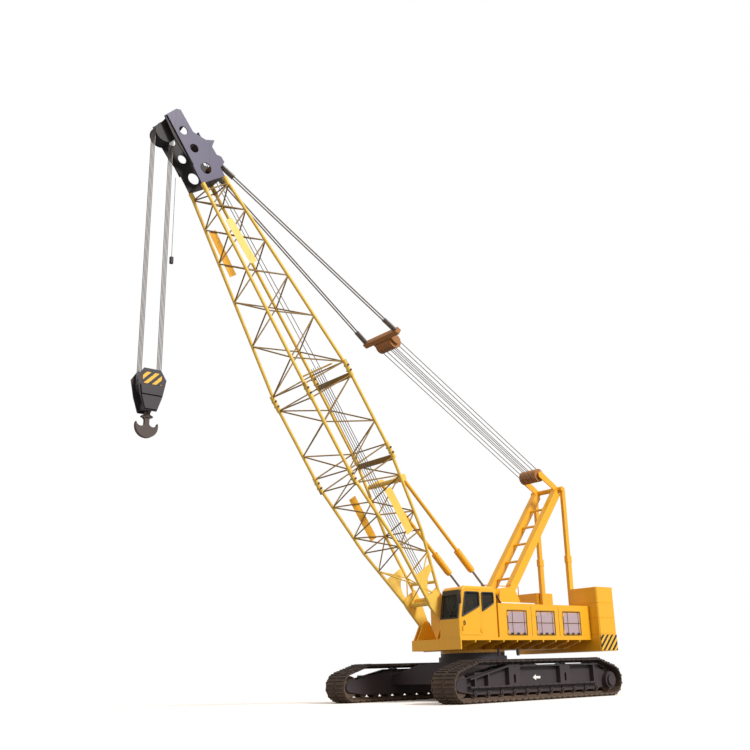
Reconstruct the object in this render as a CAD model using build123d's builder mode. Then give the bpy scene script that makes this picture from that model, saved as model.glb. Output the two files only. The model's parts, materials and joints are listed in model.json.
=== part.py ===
from build123d import *
from math import cos, hypot, radians, sin
import os

# A crawler crane with a lattice boom. All sizes are in millimetres.
# The origin is on the ground under the slewing axis: +X is forward, +Y is left and +Z is up.

os.makedirs("parts", exist_ok=True)
SIDES = (("left", 1), ("right", -1))

# Tracks
GAUGE = 5290  # between the two tracks' centre lines
SHOE_WIDTH = 1010
WHEELBASE = 6760  # between the end wheels' axles
TRACK_END_RADIUS = 500
TRACK_HEIGHT = 1215
TOP_RUN = 5400  # level stretch of the top run
TOP_BEND = 400
SHOE_DEPTH = 90
SHOE_COUNT = 64
SHOE_GAP = 26
LINK_DEPTH = 60
LINK_WIDTH = 420
WHEEL_WIDTH = 380
ROLLER_COUNT = 11
ROLLER_PITCH = 560
ROLLER_RADIUS = 140
CARRIER_X = 1350
CARRIER_RADIUS = 90
SEAT = 0.3  # running gap at a seat
HUB_RADIUS = 260
HUB_REACH = 470

# Track side frames
FRAME_HALF = 245
FRAME_PLATE = 35
FRAME_BOTTOM = 450
FRAME_TOP = 1040
FRAME_BOX_TOP = 860
FRAME_BOX_LENGTH = 5500
FRAME_SLOPE = (1500, 3100, 700)  # x where the top starts to fall, x and height where the fall ends
FLANGE = 50
SKIRT_BOTTOM = 235
RIB_REACH = 150
RIBS = ((1235, 490), (-1105, 490), (2900, 60), (2350, 60), (-2550, 60))  # x, width

# Car body and slewing bearing
CAR_BODY_X = 2900
CAR_BODY_Y = 2500
CAR_BODY_BOTTOM = 560
CAR_BODY_TOP = 1180
BEAM_X = 1250
BEAM_WIDTH = 620
BEAM_END_BOTTOM = 520
BEAM_END_TOP = 840
TURNTABLE_RADIUS = 1150
RING_RADIUS = 1080
RING_BORE = 860
RING_BOTTOM = 1360
RING_SPLIT = 1470

# Rotating bed and decks
BED_BOTTOM = 1560
BED_TOP = 1900
BED_FRONT = 2110
BED_REAR = -4325
BED_HALF = 680
BED_WEB = 70
BED_PLATE = 45
DECK_TOP = 1920
DECK_DEPTH = 90
DECK_HALF = 1654
RIGHT_DECK_FRONT = 750
BED_LEVEL_REAR = -3900  # where the bed's top starts to rise to the tail
TAIL_FRONT = -4100
TAIL_REAR = -4900
TAIL_TOP = 2250
BRACKET_PITCH = 640
BRACKET_PLATE = 25

# Boom foot
FOOT_X = 1620
FOOT_Z = 2360
FOOT_HALF = 560  # centre of each foot lug
FOOT_LUG = 110
FOOT_RADIUS = 170
PIN_RADIUS = 70
PIN_GAP = 0.5
EAR = 50  # plate beside a lug
EAR_GAP = 6

# Cab
CAB_REAR = 400
CAB_INNER = 722
CAB_WALL = 50
CAB_FRONT = 2120
CAB_SILL = 2440
CAB_ROOF = 3500
CAB_BROW = 1930  # x of the roof's front edge
CAB_CORNER = 45
CAB_ROOF_CORNER = 170
WINDOW_CORNER = 70
DOOR_REAR = 1160
DOOR_GAP = 6
DOOR_BOTTOM = 1990
GLASS = 8
HINGE_OUT = 14
HINGE_RADIUS = 12
DOOR_KNUCKLE = 120
HATCH_KNUCKLE = 90
BRACKET = 30  # height of the fixed bracket under a knuckle

# Machinery houses
HOUSE_FRONT = 350
HOUSE_REAR = -4290
HOUSE_INNER = 960
HOUSE_TOP = 3000
HOUSE_WALL = 40
HATCH_BOTTOM = 1975
HATCH_TOP = 2805
HATCH_WIDTH = 960
HATCH_FRONTS = (-45, -1465, -2835)  # x of each hatch's front edge
LOUVRE_RECESS = 18
HATCH_RIM = 45
GRILLE_BAR = 22
GRILLE_UPRIGHTS = (0.27, 0.86)  # shares of the hatch's width from its front edge

# Counterweight
WEIGHT_FRONT = -4330
WEIGHT_REAR = -5260
WEIGHT_HALF = 2054
WEIGHT_BOTTOM = 1440
WEIGHT_INNER = 780
WEIGHT_LEVELS = (2010, 2570, 3090, 3655)  # top of the base slab, then of each pair of slabs
SEAM_CHAMFER = 12

# Gantry
MAST_FOOT = (-1400, 3450)  # x, z
# The mast foot's bracket, from the foot: x, z
MAST_EAR = ((640, -350), (610, 60), (450, 170), (-110, 190), (-220, 50), (-410, -320))
MAST_EAR_BASE = ((-410, 0), (640, 0))  # from the foot's x and the bed's top
HEAD_AXLE = (-4480, 7440)
SHEAVE_AXLE = (-3620, 7930)
MAST_Y = 500
MAST_BOX = (240, 300)
REAR_LEG_Y = 690
REAR_LEG_X = -4560
REAR_FOOT_Z = 2330
KNEE_Z = 4650
HEAD_TUBE = 90
ARM_Y = 485
ARM_PLATE = 40
FALL_SHEAVE = 250
RUN_GAP = 8  # between a rope and the sheave that its end slides past
RIM = 4  # between a sheave's groove and the next
FALL_ROPE = 14
FALL_PITCH = 100
FALL_COUNT = 8

# Winches: name, x, z, drum radius, flange radius
DRUMS = (
    ("main", -260, 2480, 270, 400),
    ("auxiliary", -2270, 2480, 270, 400),
    ("luffing", -3330, 2700, 240, 360),
)
DRUM_HALF = 470
DRUM_SHAFT = 70
STAND_PLATE = 50

# Boom
BOOM_ANGLE = 56.15
BOOM_HALF_WIDTH = 918
BOOM_HALF_DEPTH = 930
BASE_LENGTH = 5930
INSERT_LENGTH = 3000
TOP_LENGTH = 7130
THROAT = 900  # where the base section starts to widen
SHOULDER = 3200  # where it has its full width
HEAD_HALF_WIDTH = 400
HEAD_HALF_DEPTH = 440
CHORD = 52
LACING = 24
SLEEVE = 74
SLEEVE_LENGTH = 290
JOINT_INSET = 240
TOP_GRADE = 0.93  # each half-bay of the top section over the one below it
CROSS_BEAM = (180, 70)
FOOT_TUBE = 75
FOOT_WEB = (THROAT, 2050, 220)  # each side's web: its start and end along the boom, and its neck
HEAD_PLATE = 40
HEAD_LENGTH = BASE_LENGTH + INSERT_LENGTH + TOP_LENGTH  # where the head starts
HEAD_SHEAVE_AT = (HEAD_LENGTH + 1870, -655)  # along and above the boom's centre line
HANGER = 25
HANGER_Y = 205
HANGER_RADIUS = 325
# Cross plates of the head: from its start, above the centre line, length and depth
HEAD_CROSS = (
    (2090, 60, 360, 40), (30, 0, 60, 2 * HEAD_HALF_DEPTH), (1300, 330, 500, 30), (2300, -150, 30, 400),
)
HOIST_SHEAVE = 305
HOIST_ROPE = 13
HOIST_PITCH = 90
HOIST_COUNT = 4
LUG_AT = (HEAD_LENGTH + 530, 600)
LUG_Y = 350

# Equaliser
EQUALISER_AT = (3350, 11900)
EQUALISER_HALF = 910
PENDANT = 24
SOCKET = 46
SOCKET_LENGTH = 520
PENDANT_SPACING = 120

# Hook block
BLOCK_Z = 8800
BLOCK_TOP = 9230
BLOCK_BOTTOM = 8020
CHEEK_Y = 215
CHEEK = 45
HOOK_BOTTOM = 7290

# Backstops
STOP_AT = (BASE_LENGTH - 1040, 1150)  # along and above the boom's centre line
STOP_FOOT = (-380, 3420)
STOP_Y = 560
STOP_BEAM = 80
STOP_TUBE = 70
SPRING_HOUSING = 105
STOP_ROD = 38
ROD_SHOWS = 1050
ROD_INSIDE = 1400
EYE_HALF = 40
FORK_PLATE = 30
FORK_RADIUS = 90
TRUNNION = 45
TRUNNION_HALF = SPRING_HOUSING + 8
SEAT_LENGTH = 240
SEAT_DEPTH = 80
SEAT_TOP = 3120
SPRING_LENGTH = 900


def boom_plane(across=0):
    """The boom's side plane: local x runs up the boom and local y away from its belly."""
    angle = radians(BOOM_ANGLE)
    return Plane(origin=(FOOT_X, across, FOOT_Z), x_dir=(cos(angle), 0, sin(angle)), z_dir=(0, -1, 0))


def boom_point(along, across, above):
    """A point given along the boom, across to the left and above its centre line."""
    return boom_plane().from_local_coords(Vector(along, above, -across))


def side_plane(across):
    """A vertical plane along the crane, with local x forward, local y up and its normal to the right."""
    return Plane.XZ.offset(-across)


def rope_seat(radius, rope, pitch, gap):
    """Distance from a sheave's axle to the centre of a rope that clears the sides of its groove by gap."""
    half = pitch / 2 - RIM
    return radius - 2 * rope + (rope + gap) * hypot(half, 2 * rope) / half


def bar(start, end, radius, sides=0):
    """A straight member between two points, round unless it is given an even number of sides.

    A member with sides that runs in the crane's side plane has two of its flats across the crane.
    """
    start, end = Vector(*start), Vector(*end)
    beside = (end - start).cross(Vector(0, 1, 0))
    x_dir = beside if beside.length > 1 else Vector(1, 0, 0)
    with BuildSketch(Plane(origin=start, x_dir=x_dir, z_dir=end - start)) as section:
        if sides:
            RegularPolygon(radius, sides)
        else:
            Circle(radius)
    return extrude(section.sketch, amount=(end - start).length, mode=Mode.PRIVATE)


def plate(outline, across, thickness):
    """A flat plate in the crane's side plane, centred on a distance across; outline holds (x, z) points."""
    with BuildSketch(side_plane(across)) as face:
        with BuildLine():
            Polyline(*outline, close=True)
        make_face()
    return extrude(face.sketch, amount=thickness / 2, both=True, mode=Mode.PRIVATE)


# ---------------------------------------------------------------- tracks

with BuildSketch() as belt:
    with Locations((-WHEELBASE / 2, TRACK_END_RADIUS), (WHEELBASE / 2, TRACK_END_RADIUS)):
        Circle(TRACK_END_RADIUS)
    with Locations((-TOP_RUN / 2, TRACK_HEIGHT - TOP_BEND), (TOP_RUN / 2, TRACK_HEIGHT - TOP_BEND)):
        Circle(TOP_BEND)
    make_hull()
belt_edge = belt.sketch.faces()[0].outer_wire()
shoe_gaps = [belt_edge.location_at(n / SHOE_COUNT) for n in range(SHOE_COUNT)]
gap_places = []
for place in shoe_gaps:
    along = Vector(0, 0, 1).transform(Plane(place).forward_transform.inverse(), is_direction=True)
    gap_places.append(Location(place.position, (0, 0, Vector(1, 0, 0).get_signed_angle(along))))

for side, sign in SIDES:
    middle = sign * GAUGE / 2

    with BuildPart() as track:
        with BuildSketch(side_plane(middle)):
            add(belt.sketch)
            offset(amount=-SHOE_DEPTH, mode=Mode.SUBTRACT)
            with Locations(*gap_places):
                Rectangle(SHOE_GAP, SHOE_DEPTH, mode=Mode.SUBTRACT)
        extrude(amount=SHOE_WIDTH / 2, both=True)
        with BuildSketch(side_plane(middle)):
            add(offset(belt.sketch, amount=-SHOE_DEPTH, mode=Mode.PRIVATE))
            offset(amount=-LINK_DEPTH, mode=Mode.SUBTRACT)
        extrude(amount=LINK_WIDTH / 2, both=True)
    track.part.label = f"track_{side}"
    export_step(track.part, f"parts/track_{side}.step")

    # The side frame: two cheek plates that carry the wheels' shafts, a box beam between them,
    # ears for the top rollers, and flanges and ribs on the outer face.
    outer = middle + sign * (FRAME_HALF + RIB_REACH / 2)
    slope_x, nose_x, nose_z = FRAME_SLOPE
    fall = (FRAME_TOP - nose_z) / (nose_x - slope_x)
    with BuildPart() as track_frame:
        for cheek in (-1, 1):
            with BuildSketch(side_plane(middle + cheek * (FRAME_HALF - FRAME_PLATE / 2))):
                with Locations((-WHEELBASE / 2, TRACK_END_RADIUS), (WHEELBASE / 2, TRACK_END_RADIUS)):
                    Circle(170)
                with Locations((0, (SKIRT_BOTTOM + FRAME_BOTTOM) / 2)):
                    Rectangle(FRAME_BOX_LENGTH, FRAME_BOTTOM - SKIRT_BOTTOM)
                with Locations(((slope_x - FRAME_BOX_LENGTH / 2) / 2, FRAME_TOP - FLANGE / 2)):
                    Rectangle(slope_x + FRAME_BOX_LENGTH / 2, FLANGE)
                make_hull()
            extrude(amount=FRAME_PLATE / 2, both=True)
        with Locations((0, middle, (FRAME_BOTTOM + FRAME_BOX_TOP) / 2)):
            Box(FRAME_BOX_LENGTH, 2 * (FRAME_HALF - FRAME_PLATE), FRAME_BOX_TOP - FRAME_BOTTOM)
        with BuildSketch(side_plane(outer)):
            with BuildLine():
                Polyline(
                    (-FRAME_BOX_LENGTH / 2, FRAME_TOP - FLANGE), (slope_x, FRAME_TOP - FLANGE),
                    (nose_x, nose_z - FLANGE), (nose_x, nose_z), (slope_x, FRAME_TOP),
                    (-FRAME_BOX_LENGTH / 2, FRAME_TOP), close=True,
                )
            make_face()
            with Locations(((nose_x - FRAME_BOX_LENGTH / 2) / 2, FRAME_BOTTOM)):
                Rectangle(nose_x + FRAME_BOX_LENGTH / 2, FLANGE)
            for x, width in RIBS:
                top = FRAME_TOP - max(0, fall * (x + width / 2 - slope_x)) - FLANGE / 2
                with Locations((x, FRAME_BOTTOM)):
                    Rectangle(width, top - FRAME_BOTTOM, align=(Align.CENTER, Align.MIN))
        extrude(amount=RIB_REACH / 2, both=True)
        with BuildSketch(side_plane(outer + sign * RIB_REACH / 2)):
            with Locations((RIBS[0][0], 650), (RIBS[1][0], 650)):
                SlotOverall(260, 90, rotation=90)
        extrude(amount=sign * RIB_REACH * 0.8, mode=Mode.SUBTRACT)
    track_frame.part.label = f"track_frame_{side}"
    export_step(track_frame.part, f"parts/track_frame_{side}.step")

    # Lower rollers, top rollers, idler and driven wheel, each a solid of its own on its shaft.
    shaft = FRAME_HALF - FRAME_PLATE
    roller_z = SHOE_DEPTH + LINK_DEPTH + ROLLER_RADIUS + SEAT
    carrier_z = TRACK_HEIGHT - SHOE_DEPTH - LINK_DEPTH - CARRIER_RADIUS - SEAT
    wheel_radius = TRACK_END_RADIUS - SHOE_DEPTH - LINK_DEPTH - SEAT
    roller_spots = [((n - (ROLLER_COUNT - 1) / 2) * ROLLER_PITCH, roller_z) for n in range(ROLLER_COUNT)]
    with BuildPart() as track_wheels:
        with BuildSketch(side_plane(middle)):
            with Locations(*roller_spots):
                Circle(ROLLER_RADIUS)
            with Locations((-CARRIER_X, carrier_z), (CARRIER_X, carrier_z)):
                Circle(CARRIER_RADIUS)
            with Locations((WHEELBASE / 2, TRACK_END_RADIUS), (-WHEELBASE / 2, TRACK_END_RADIUS)):
                Circle(wheel_radius)
        extrude(amount=WHEEL_WIDTH / 2, both=True)
        with BuildSketch(side_plane(middle)):
            with Locations(*roller_spots, (-CARRIER_X, carrier_z), (CARRIER_X, carrier_z)):
                Circle(45)
            with Locations((WHEELBASE / 2, TRACK_END_RADIUS), (-WHEELBASE / 2, TRACK_END_RADIUS)):
                Circle(120)
        extrude(amount=shaft - SEAT, both=True)
    track_wheels.part.label = f"track_wheels_{side}"
    export_step(track_wheels.part, f"parts/track_wheels_{side}.step")

    # The final drive's housing stands out of the side frame beside the driven wheel.
    with BuildPart() as final_drive:
        with BuildSketch(side_plane(middle + sign * FRAME_HALF)):
            with Locations((-WHEELBASE / 2, TRACK_END_RADIUS)):
                Circle(HUB_RADIUS)
        extrude(amount=-sign * (HUB_REACH - FRAME_HALF) * 0.7)
        with BuildSketch(side_plane(middle + sign * FRAME_HALF)):
            with Locations((-WHEELBASE / 2, TRACK_END_RADIUS)):
                Circle(HUB_RADIUS * 0.7)
        extrude(amount=-sign * (HUB_REACH - FRAME_HALF))
    final_drive.part.label = f"final_drive_{side}"
    export_step(final_drive.part, f"parts/final_drive_{side}.step")

# ---------------------------------------------------------------- car body and slewing bearing

with BuildPart() as car_body:
    with BuildSketch(Plane.XY.offset(CAR_BODY_BOTTOM)):
        Rectangle(CAR_BODY_X, CAR_BODY_Y)
        chamfer(vertices(), 500)
    extrude(amount=CAR_BODY_TOP - CAR_BODY_BOTTOM)
    for x in (-BEAM_X, BEAM_X):
        reach = GAUGE / 2 - FRAME_HALF
        with BuildSketch(Plane.YZ.offset(x)):
            with BuildLine():
                Polyline(
                    (-reach, BEAM_END_BOTTOM), (reach, BEAM_END_BOTTOM), (reach, BEAM_END_TOP),
                    (1000, CAR_BODY_TOP - 30), (-1000, CAR_BODY_TOP - 30), (-reach, BEAM_END_TOP), close=True,
                )
            make_face()
        extrude(amount=BEAM_WIDTH / 2, both=True)
    with BuildSketch(Plane.XY.offset(CAR_BODY_TOP)):
        Circle(TURNTABLE_RADIUS)
    extrude(amount=RING_BOTTOM - CAR_BODY_TOP)
car_body.part.label = "car_body"
export_step(car_body.part, "parts/car_body.step")

with BuildPart() as slewing_ring:
    with BuildSketch(Plane.XY.offset(RING_BOTTOM)):
        Circle(RING_RADIUS)
        Circle(RING_BORE, mode=Mode.SUBTRACT)
    extrude(amount=RING_SPLIT - RING_BOTTOM)
slewing_ring.part.label = "slewing_ring"
export_step(slewing_ring.part, "parts/slewing_ring.step")

# ---------------------------------------------------------------- rotating bed

ear_offset = FOOT_LUG / 2 + EAR_GAP + EAR / 2
mast_ear_offset = MAST_BOX[0] / 2 + EAR_GAP + EAR / 2
with BuildPart() as rotating_bed:
    with BuildSketch(Plane.XY.offset(RING_SPLIT + SEAT)):
        Circle(RING_RADIUS)
        Circle(RING_BORE, mode=Mode.SUBTRACT)
    extrude(amount=BED_BOTTOM - RING_SPLIT - SEAT)
    with BuildSketch(Plane.XY.offset(BED_BOTTOM)):
        with Locations(((BED_FRONT + BED_REAR) / 2, 0)):
            Rectangle(BED_FRONT - BED_REAR, 2 * BED_HALF)
    extrude(amount=BED_PLATE)
    with BuildSketch(Plane.XY.offset(BED_TOP)):
        with Locations(((BED_FRONT + BED_LEVEL_REAR) / 2, 0)):
            Rectangle(BED_FRONT - BED_LEVEL_REAR, 2 * BED_HALF)
    extrude(amount=-BED_PLATE)
    for sign in (-1, 1):
        add(plate(
            (
                (BED_REAR, BED_BOTTOM), (BED_FRONT, BED_BOTTOM), (BED_FRONT, BED_TOP), (BED_LEVEL_REAR, BED_TOP),
                (TAIL_FRONT, TAIL_TOP), (TAIL_REAR, TAIL_TOP), (TAIL_REAR, WEIGHT_LEVELS[0] + SEAT),
                (BED_REAR, WEIGHT_LEVELS[0] + SEAT),
            ),
            sign * (BED_HALF - BED_WEB / 2), BED_WEB,
        ))
    for x in (BED_REAR + 35, -2800, -1700, -900, 300, 1200, BED_FRONT - 35):
        with Locations((x, 0, (BED_BOTTOM + BED_TOP) / 2)):
            Box(70, 2 * BED_HALF - BED_WEB, BED_TOP - BED_BOTTOM)
    with Locations((TAIL_REAR + 40, 0, (TAIL_TOP + WEIGHT_LEVELS[0] + SEAT) / 2)):
        Box(80, 2 * BED_HALF - BED_WEB, TAIL_TOP - WEIGHT_LEVELS[0] - SEAT)
    for sign in (-1, 1):
        # Boom foot ears and pin
        for ear in (-1, 1):
            across = sign * FOOT_HALF + ear * ear_offset
            with BuildSketch(side_plane(across)):
                with Locations((FOOT_X, FOOT_Z)):
                    Circle(FOOT_RADIUS)
                with Locations((FOOT_X, BED_TOP - 60)):
                    Rectangle(900, 60)
                make_hull()
            extrude(amount=EAR / 2, both=True)
        with BuildSketch(side_plane(sign * FOOT_HALF)):
            with Locations((FOOT_X, FOOT_Z)):
                Circle(PIN_RADIUS)
        extrude(amount=ear_offset, both=True)
        # Mast foot ears and pin
        for ear in (-1, 1):
            rim = [(MAST_FOOT[0] + x, MAST_FOOT[1] + z) for x, z in MAST_EAR]
            rim += [(MAST_FOOT[0] + x, BED_TOP - BED_PLATE + z) for x, z in MAST_EAR_BASE]
            add(plate(rim, sign * MAST_Y + ear * mast_ear_offset, EAR))
        with BuildSketch(side_plane(sign * MAST_Y)):
            with Locations(MAST_FOOT):
                Circle(PIN_RADIUS)
        extrude(amount=mast_ear_offset, both=True)
        # Seat for the backstop rod, a crosspiece over the main winch's stand with two cheeks
        seat_half = TRUNNION_HALF + EAR_GAP + FORK_PLATE
        with Locations((STOP_FOOT[0], sign * STOP_Y, SEAT_TOP - SEAT_DEPTH / 2)):
            Box(SEAT_LENGTH, 2 * seat_half, SEAT_DEPTH)
        for ear in (-1, 1):
            with BuildSketch(side_plane(sign * STOP_Y + ear * (seat_half - FORK_PLATE / 2))):
                with Locations(STOP_FOOT):
                    Circle(FORK_RADIUS)
                with Locations((STOP_FOOT[0], SEAT_TOP - SEAT_DEPTH / 2)):
                    Rectangle(SEAT_LENGTH, SEAT_DEPTH)
                make_hull()
            extrude(amount=FORK_PLATE / 2, both=True)
    # Winch stands
    for name, x, z, radius, flange in DRUMS:
        for sign in (-1, 1):
            with BuildSketch(side_plane(sign * (DRUM_HALF + EAR_GAP + STAND_PLATE / 2))):
                with Locations((x, z)):
                    Circle(DRUM_SHAFT + 70)
                with Locations((x, BED_TOP - 60)):
                    Rectangle(600, 60)
                if name == "main":
                    with Locations((STOP_FOOT[0], SEAT_TOP - SEAT_DEPTH / 2)):
                        Rectangle(SEAT_LENGTH, SEAT_DEPTH)
                make_hull()
                with Locations((x, z)):
                    Circle(DRUM_SHAFT + PIN_GAP, mode=Mode.SUBTRACT)
            extrude(amount=STAND_PLATE / 2, both=True)
rotating_bed.part.label = "rotating_bed"
export_step(rotating_bed.part, "parts/rotating_bed.step")

for side, sign in SIDES:
    # A deck plate on tapered bracket arms, with a front closing plate.
    with BuildPart() as deck:
        deck_width = DECK_HALF - BED_HALF
        deck_middle = sign * (DECK_HALF + BED_HALF) / 2
        deck_front = BED_FRONT if side == "left" else RIGHT_DECK_FRONT
        with Locations(((deck_front + BED_REAR) / 2, deck_middle, DECK_TOP - DECK_DEPTH / 2)):
            Box(deck_front - BED_REAR, deck_width, DECK_DEPTH)
        for n in range(int((deck_front - 2 * BRACKET_PLATE - BED_REAR) / BRACKET_PITCH) + 1):
            x = deck_front - 25 - n * BRACKET_PITCH
            # The front plate is full; the arms behind it taper outwards.
            root = DECK_HALF if n == 0 else BED_HALF + 200
            with BuildSketch(Plane.YZ.offset(x)):
                with Locations((deck_middle, DECK_TOP - DECK_DEPTH - 30)):
                    Rectangle(deck_width, 60)
                with Locations((sign * (BED_HALF + root) / 2, BED_BOTTOM + 30)):
                    Rectangle(root - BED_HALF, 60)
                make_hull()
            extrude(amount=BRACKET_PLATE, both=True)
    deck.part.label = f"deck_{side}"
    export_step(deck.part, f"parts/deck_{side}.step")

# ---------------------------------------------------------------- cab

CAB_OUTLINE = (
    (CAB_REAR, DECK_TOP), (CAB_FRONT, DECK_TOP), (CAB_FRONT, CAB_SILL), (CAB_BROW, CAB_ROOF),
    (CAB_REAR, CAB_ROOF),
)
DOOR_OUTLINE = (
    (DOOR_REAR, DOOR_BOTTOM), (2050, DOOR_BOTTOM), (2050, CAB_SILL), (1885, 3400), (DOOR_REAR, 3400),
)
DOOR_WINDOW = ((1220, 2890), (1990, 2560), (1830, 3320), (1220, 3320))
REAR_WINDOW = ((560, 2990), (1085, 2730), (1085, 3320), (560, 3320))
RIGHT_WINDOW = ((560, 2750), (1930, 2750), (1830, 3300), (560, 3300))
DOOR_HINGES = (2150, 3250)  # height of each hinge's middle
hinge_y = DECK_HALF + HINGE_OUT
cab_middle = (CAB_INNER + DECK_HALF) / 2
cab_width = DECK_HALF - CAB_INNER


def outline(points, grow=0, radius=0):
    """Adds a closed outline to the sketch being built, with rounded corners or made larger all round."""
    with BuildLine() as rim:
        if radius:
            FilletPolyline(*points, radius=radius, close=True)
        else:
            Polyline(*points, close=True)
    face = make_face(rim.edges())
    if grow:
        offset(face, amount=grow, kind=Kind.INTERSECTION, mode=Mode.REPLACE)


floor_corner = (CAB_REAR + CAB_WALL, CAB_INNER + CAB_WALL, DECK_TOP)
floor_size = (CAB_FRONT - CAB_REAR - 2 * CAB_WALL, cab_width - 2 * CAB_WALL, CAB_WALL)
with BuildPart() as cab_shell:
    with BuildSketch(side_plane(cab_middle)) as cab_side:
        outline(CAB_OUTLINE)
        fillet(cab_side.vertices().sort_by(Axis.Y)[-2:], CAB_ROOF_CORNER)
    extrude(amount=cab_width / 2, both=True)
    with BuildSketch(side_plane(cab_middle)):
        add(offset(cab_side.sketch_local, amount=-CAB_WALL, mode=Mode.PRIVATE))
    extrude(amount=cab_width / 2 - CAB_WALL, both=True, mode=Mode.SUBTRACT)
    for end in (0, -1):
        rim = cab_shell.faces().sort_by(Axis.Y)[end].outer_wire().edges()
        kept = [edge for edge in rim if edge.center().X > CAB_REAR + 1 and edge.center().Z > DECK_TOP + 1]
        fillet(kept, CAB_CORNER)
    # The floor is a plate of its own between the walls
    with Locations(floor_corner):
        Box(*floor_size, align=Align.MIN, mode=Mode.SUBTRACT)
    with BuildSketch(side_plane(DECK_HALF)):
        outline(DOOR_OUTLINE, DOOR_GAP)
    extrude(amount=CAB_WALL, mode=Mode.SUBTRACT)
    with BuildSketch(side_plane(DECK_HALF)):
        outline(REAR_WINDOW, radius=WINDOW_CORNER)
    extrude(amount=CAB_WALL, mode=Mode.SUBTRACT)
    # Right window, front windscreen and rear window
    with BuildSketch(side_plane(CAB_INNER + CAB_WALL)):
        outline(RIGHT_WINDOW, radius=WINDOW_CORNER)
    extrude(amount=CAB_WALL, mode=Mode.SUBTRACT)
    with BuildSketch(Plane.YZ.offset(CAB_FRONT + 50)):
        with Locations((cab_middle, (CAB_SILL + 60 + 3330) / 2)):
            Rectangle(cab_width - 160, 3330 - CAB_SILL - 60)
    extrude(amount=-350, mode=Mode.SUBTRACT)
    with BuildSketch(Plane.YZ.offset(CAB_REAR)):
        with Locations((cab_middle, 3080)):
            RectangleRounded(cab_width - 240, 440, WINDOW_CORNER)
    extrude(amount=CAB_WALL, mode=Mode.SUBTRACT)
    # Hinge brackets under the door's knuckles
    for z in DOOR_HINGES:
        bracket_z = z - (DOOR_KNUCKLE + BRACKET) / 2 - SEAT
        with Locations((DOOR_REAR - DOOR_GAP / 2, hinge_y, bracket_z)):
            Cylinder(HINGE_RADIUS, BRACKET)
        with Locations((DOOR_REAR - DOOR_GAP / 2, DECK_HALF, bracket_z)):
            Box(45, HINGE_OUT, BRACKET, align=(Align.MAX, Align.MIN, Align.CENTER))
cab_shell.part.label = "cab_shell"
export_step(cab_shell.part, "parts/cab_shell.step")

with BuildPart() as cab_floor:
    with Locations(floor_corner):
        Box(*floor_size, align=Align.MIN)
cab_floor.part.label = "cab_floor"
export_step(cab_floor.part, "parts/cab_floor.step")

lean = (CAB_FRONT - CAB_BROW) / (CAB_ROOF - CAB_SILL)
with BuildPart() as cab_windows:
    with BuildSketch(side_plane(DECK_HALF - 20)):
        outline(REAR_WINDOW, radius=WINDOW_CORNER)
    extrude(amount=GLASS)
    with BuildSketch(side_plane(CAB_INNER + 30)):
        outline(RIGHT_WINDOW, radius=WINDOW_CORNER)
    extrude(amount=GLASS)
    with BuildSketch(side_plane(cab_middle)):
        low, high = CAB_SILL + 60, 3330
        front = CAB_FRONT - 20
        outline((
            (front - lean * (low - CAB_SILL), low), (front - lean * (high - CAB_SILL), high),
            (front - GLASS - lean * (high - CAB_SILL), high), (front - GLASS - lean * (low - CAB_SILL), low),
        ))
    extrude(amount=cab_width / 2 - 80, both=True)
    with BuildSketch(Plane.YZ.offset(CAB_REAR + 20)):
        with Locations((cab_middle, 3080)):
            RectangleRounded(cab_width - 240, 440, WINDOW_CORNER)
    extrude(amount=GLASS)
cab_windows.part.label = "cab_windows"
export_step(cab_windows.part, "parts/cab_windows.step")

with BuildPart() as cab_door:
    with BuildSketch(side_plane(DECK_HALF)):
        outline(DOOR_OUTLINE)
        with BuildLine():
            FilletPolyline(*DOOR_WINDOW, radius=WINDOW_CORNER, close=True)
        make_face(mode=Mode.SUBTRACT)
    extrude(amount=CAB_WALL)
    for z in DOOR_HINGES:
        with Locations((DOOR_REAR - DOOR_GAP / 2, hinge_y, z)):
            Cylinder(HINGE_RADIUS, DOOR_KNUCKLE)
        with Locations((DOOR_REAR, DECK_HALF, z)):
            Box(50, HINGE_OUT, DOOR_KNUCKLE, align=(Align.MIN, Align.MIN, Align.CENTER))
    with Locations((1990, DECK_HALF + 20, 2200)):
        Box(30, 40, 140)
cab_door.part.label = "cab_door"
export_step(cab_door.part, "parts/cab_door.step")

with BuildPart() as door_glass:
    with BuildSketch(side_plane(DECK_HALF - 20)):
        outline(DOOR_WINDOW, radius=WINDOW_CORNER)
    extrude(amount=GLASS)
door_glass.part.label = "cab_door_glass"
export_step(door_glass.part, "parts/cab_door_glass.step")

floor = DECK_TOP + CAB_WALL + SEAT
with BuildPart() as cab_seat:
    with Locations((900, cab_middle, floor)):
        Box(420, 380, 320, align=(Align.CENTER, Align.CENTER, Align.MIN))
    with Locations((930, cab_middle, floor + 320)):
        Box(520, 500, 130, align=(Align.CENTER, Align.CENTER, Align.MIN))
    with Locations((700, cab_middle, floor + 440)):
        Box(130, 480, 620, align=(Align.CENTER, Align.CENTER, Align.MIN))
cab_seat.part.label = "cab_seat"
export_step(cab_seat.part, "parts/cab_seat.step")

with BuildPart() as cab_console:
    with BuildSketch(side_plane(cab_middle)):
        outline(((1780, floor), (1980, floor), (1980, floor + 480), (1900, floor + 620), (1720, floor + 560)))
    extrude(amount=180, both=True)
    for y in (CAB_INNER + CAB_WALL + 80, DECK_HALF - CAB_WALL - 80):
        with Locations((1080, y, floor)):
            Box(520, 110, 600, align=(Align.CENTER, Align.CENTER, Align.MIN))
cab_console.part.label = "cab_console"
export_step(cab_console.part, "parts/cab_console.step")

# ---------------------------------------------------------------- machinery houses

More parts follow.
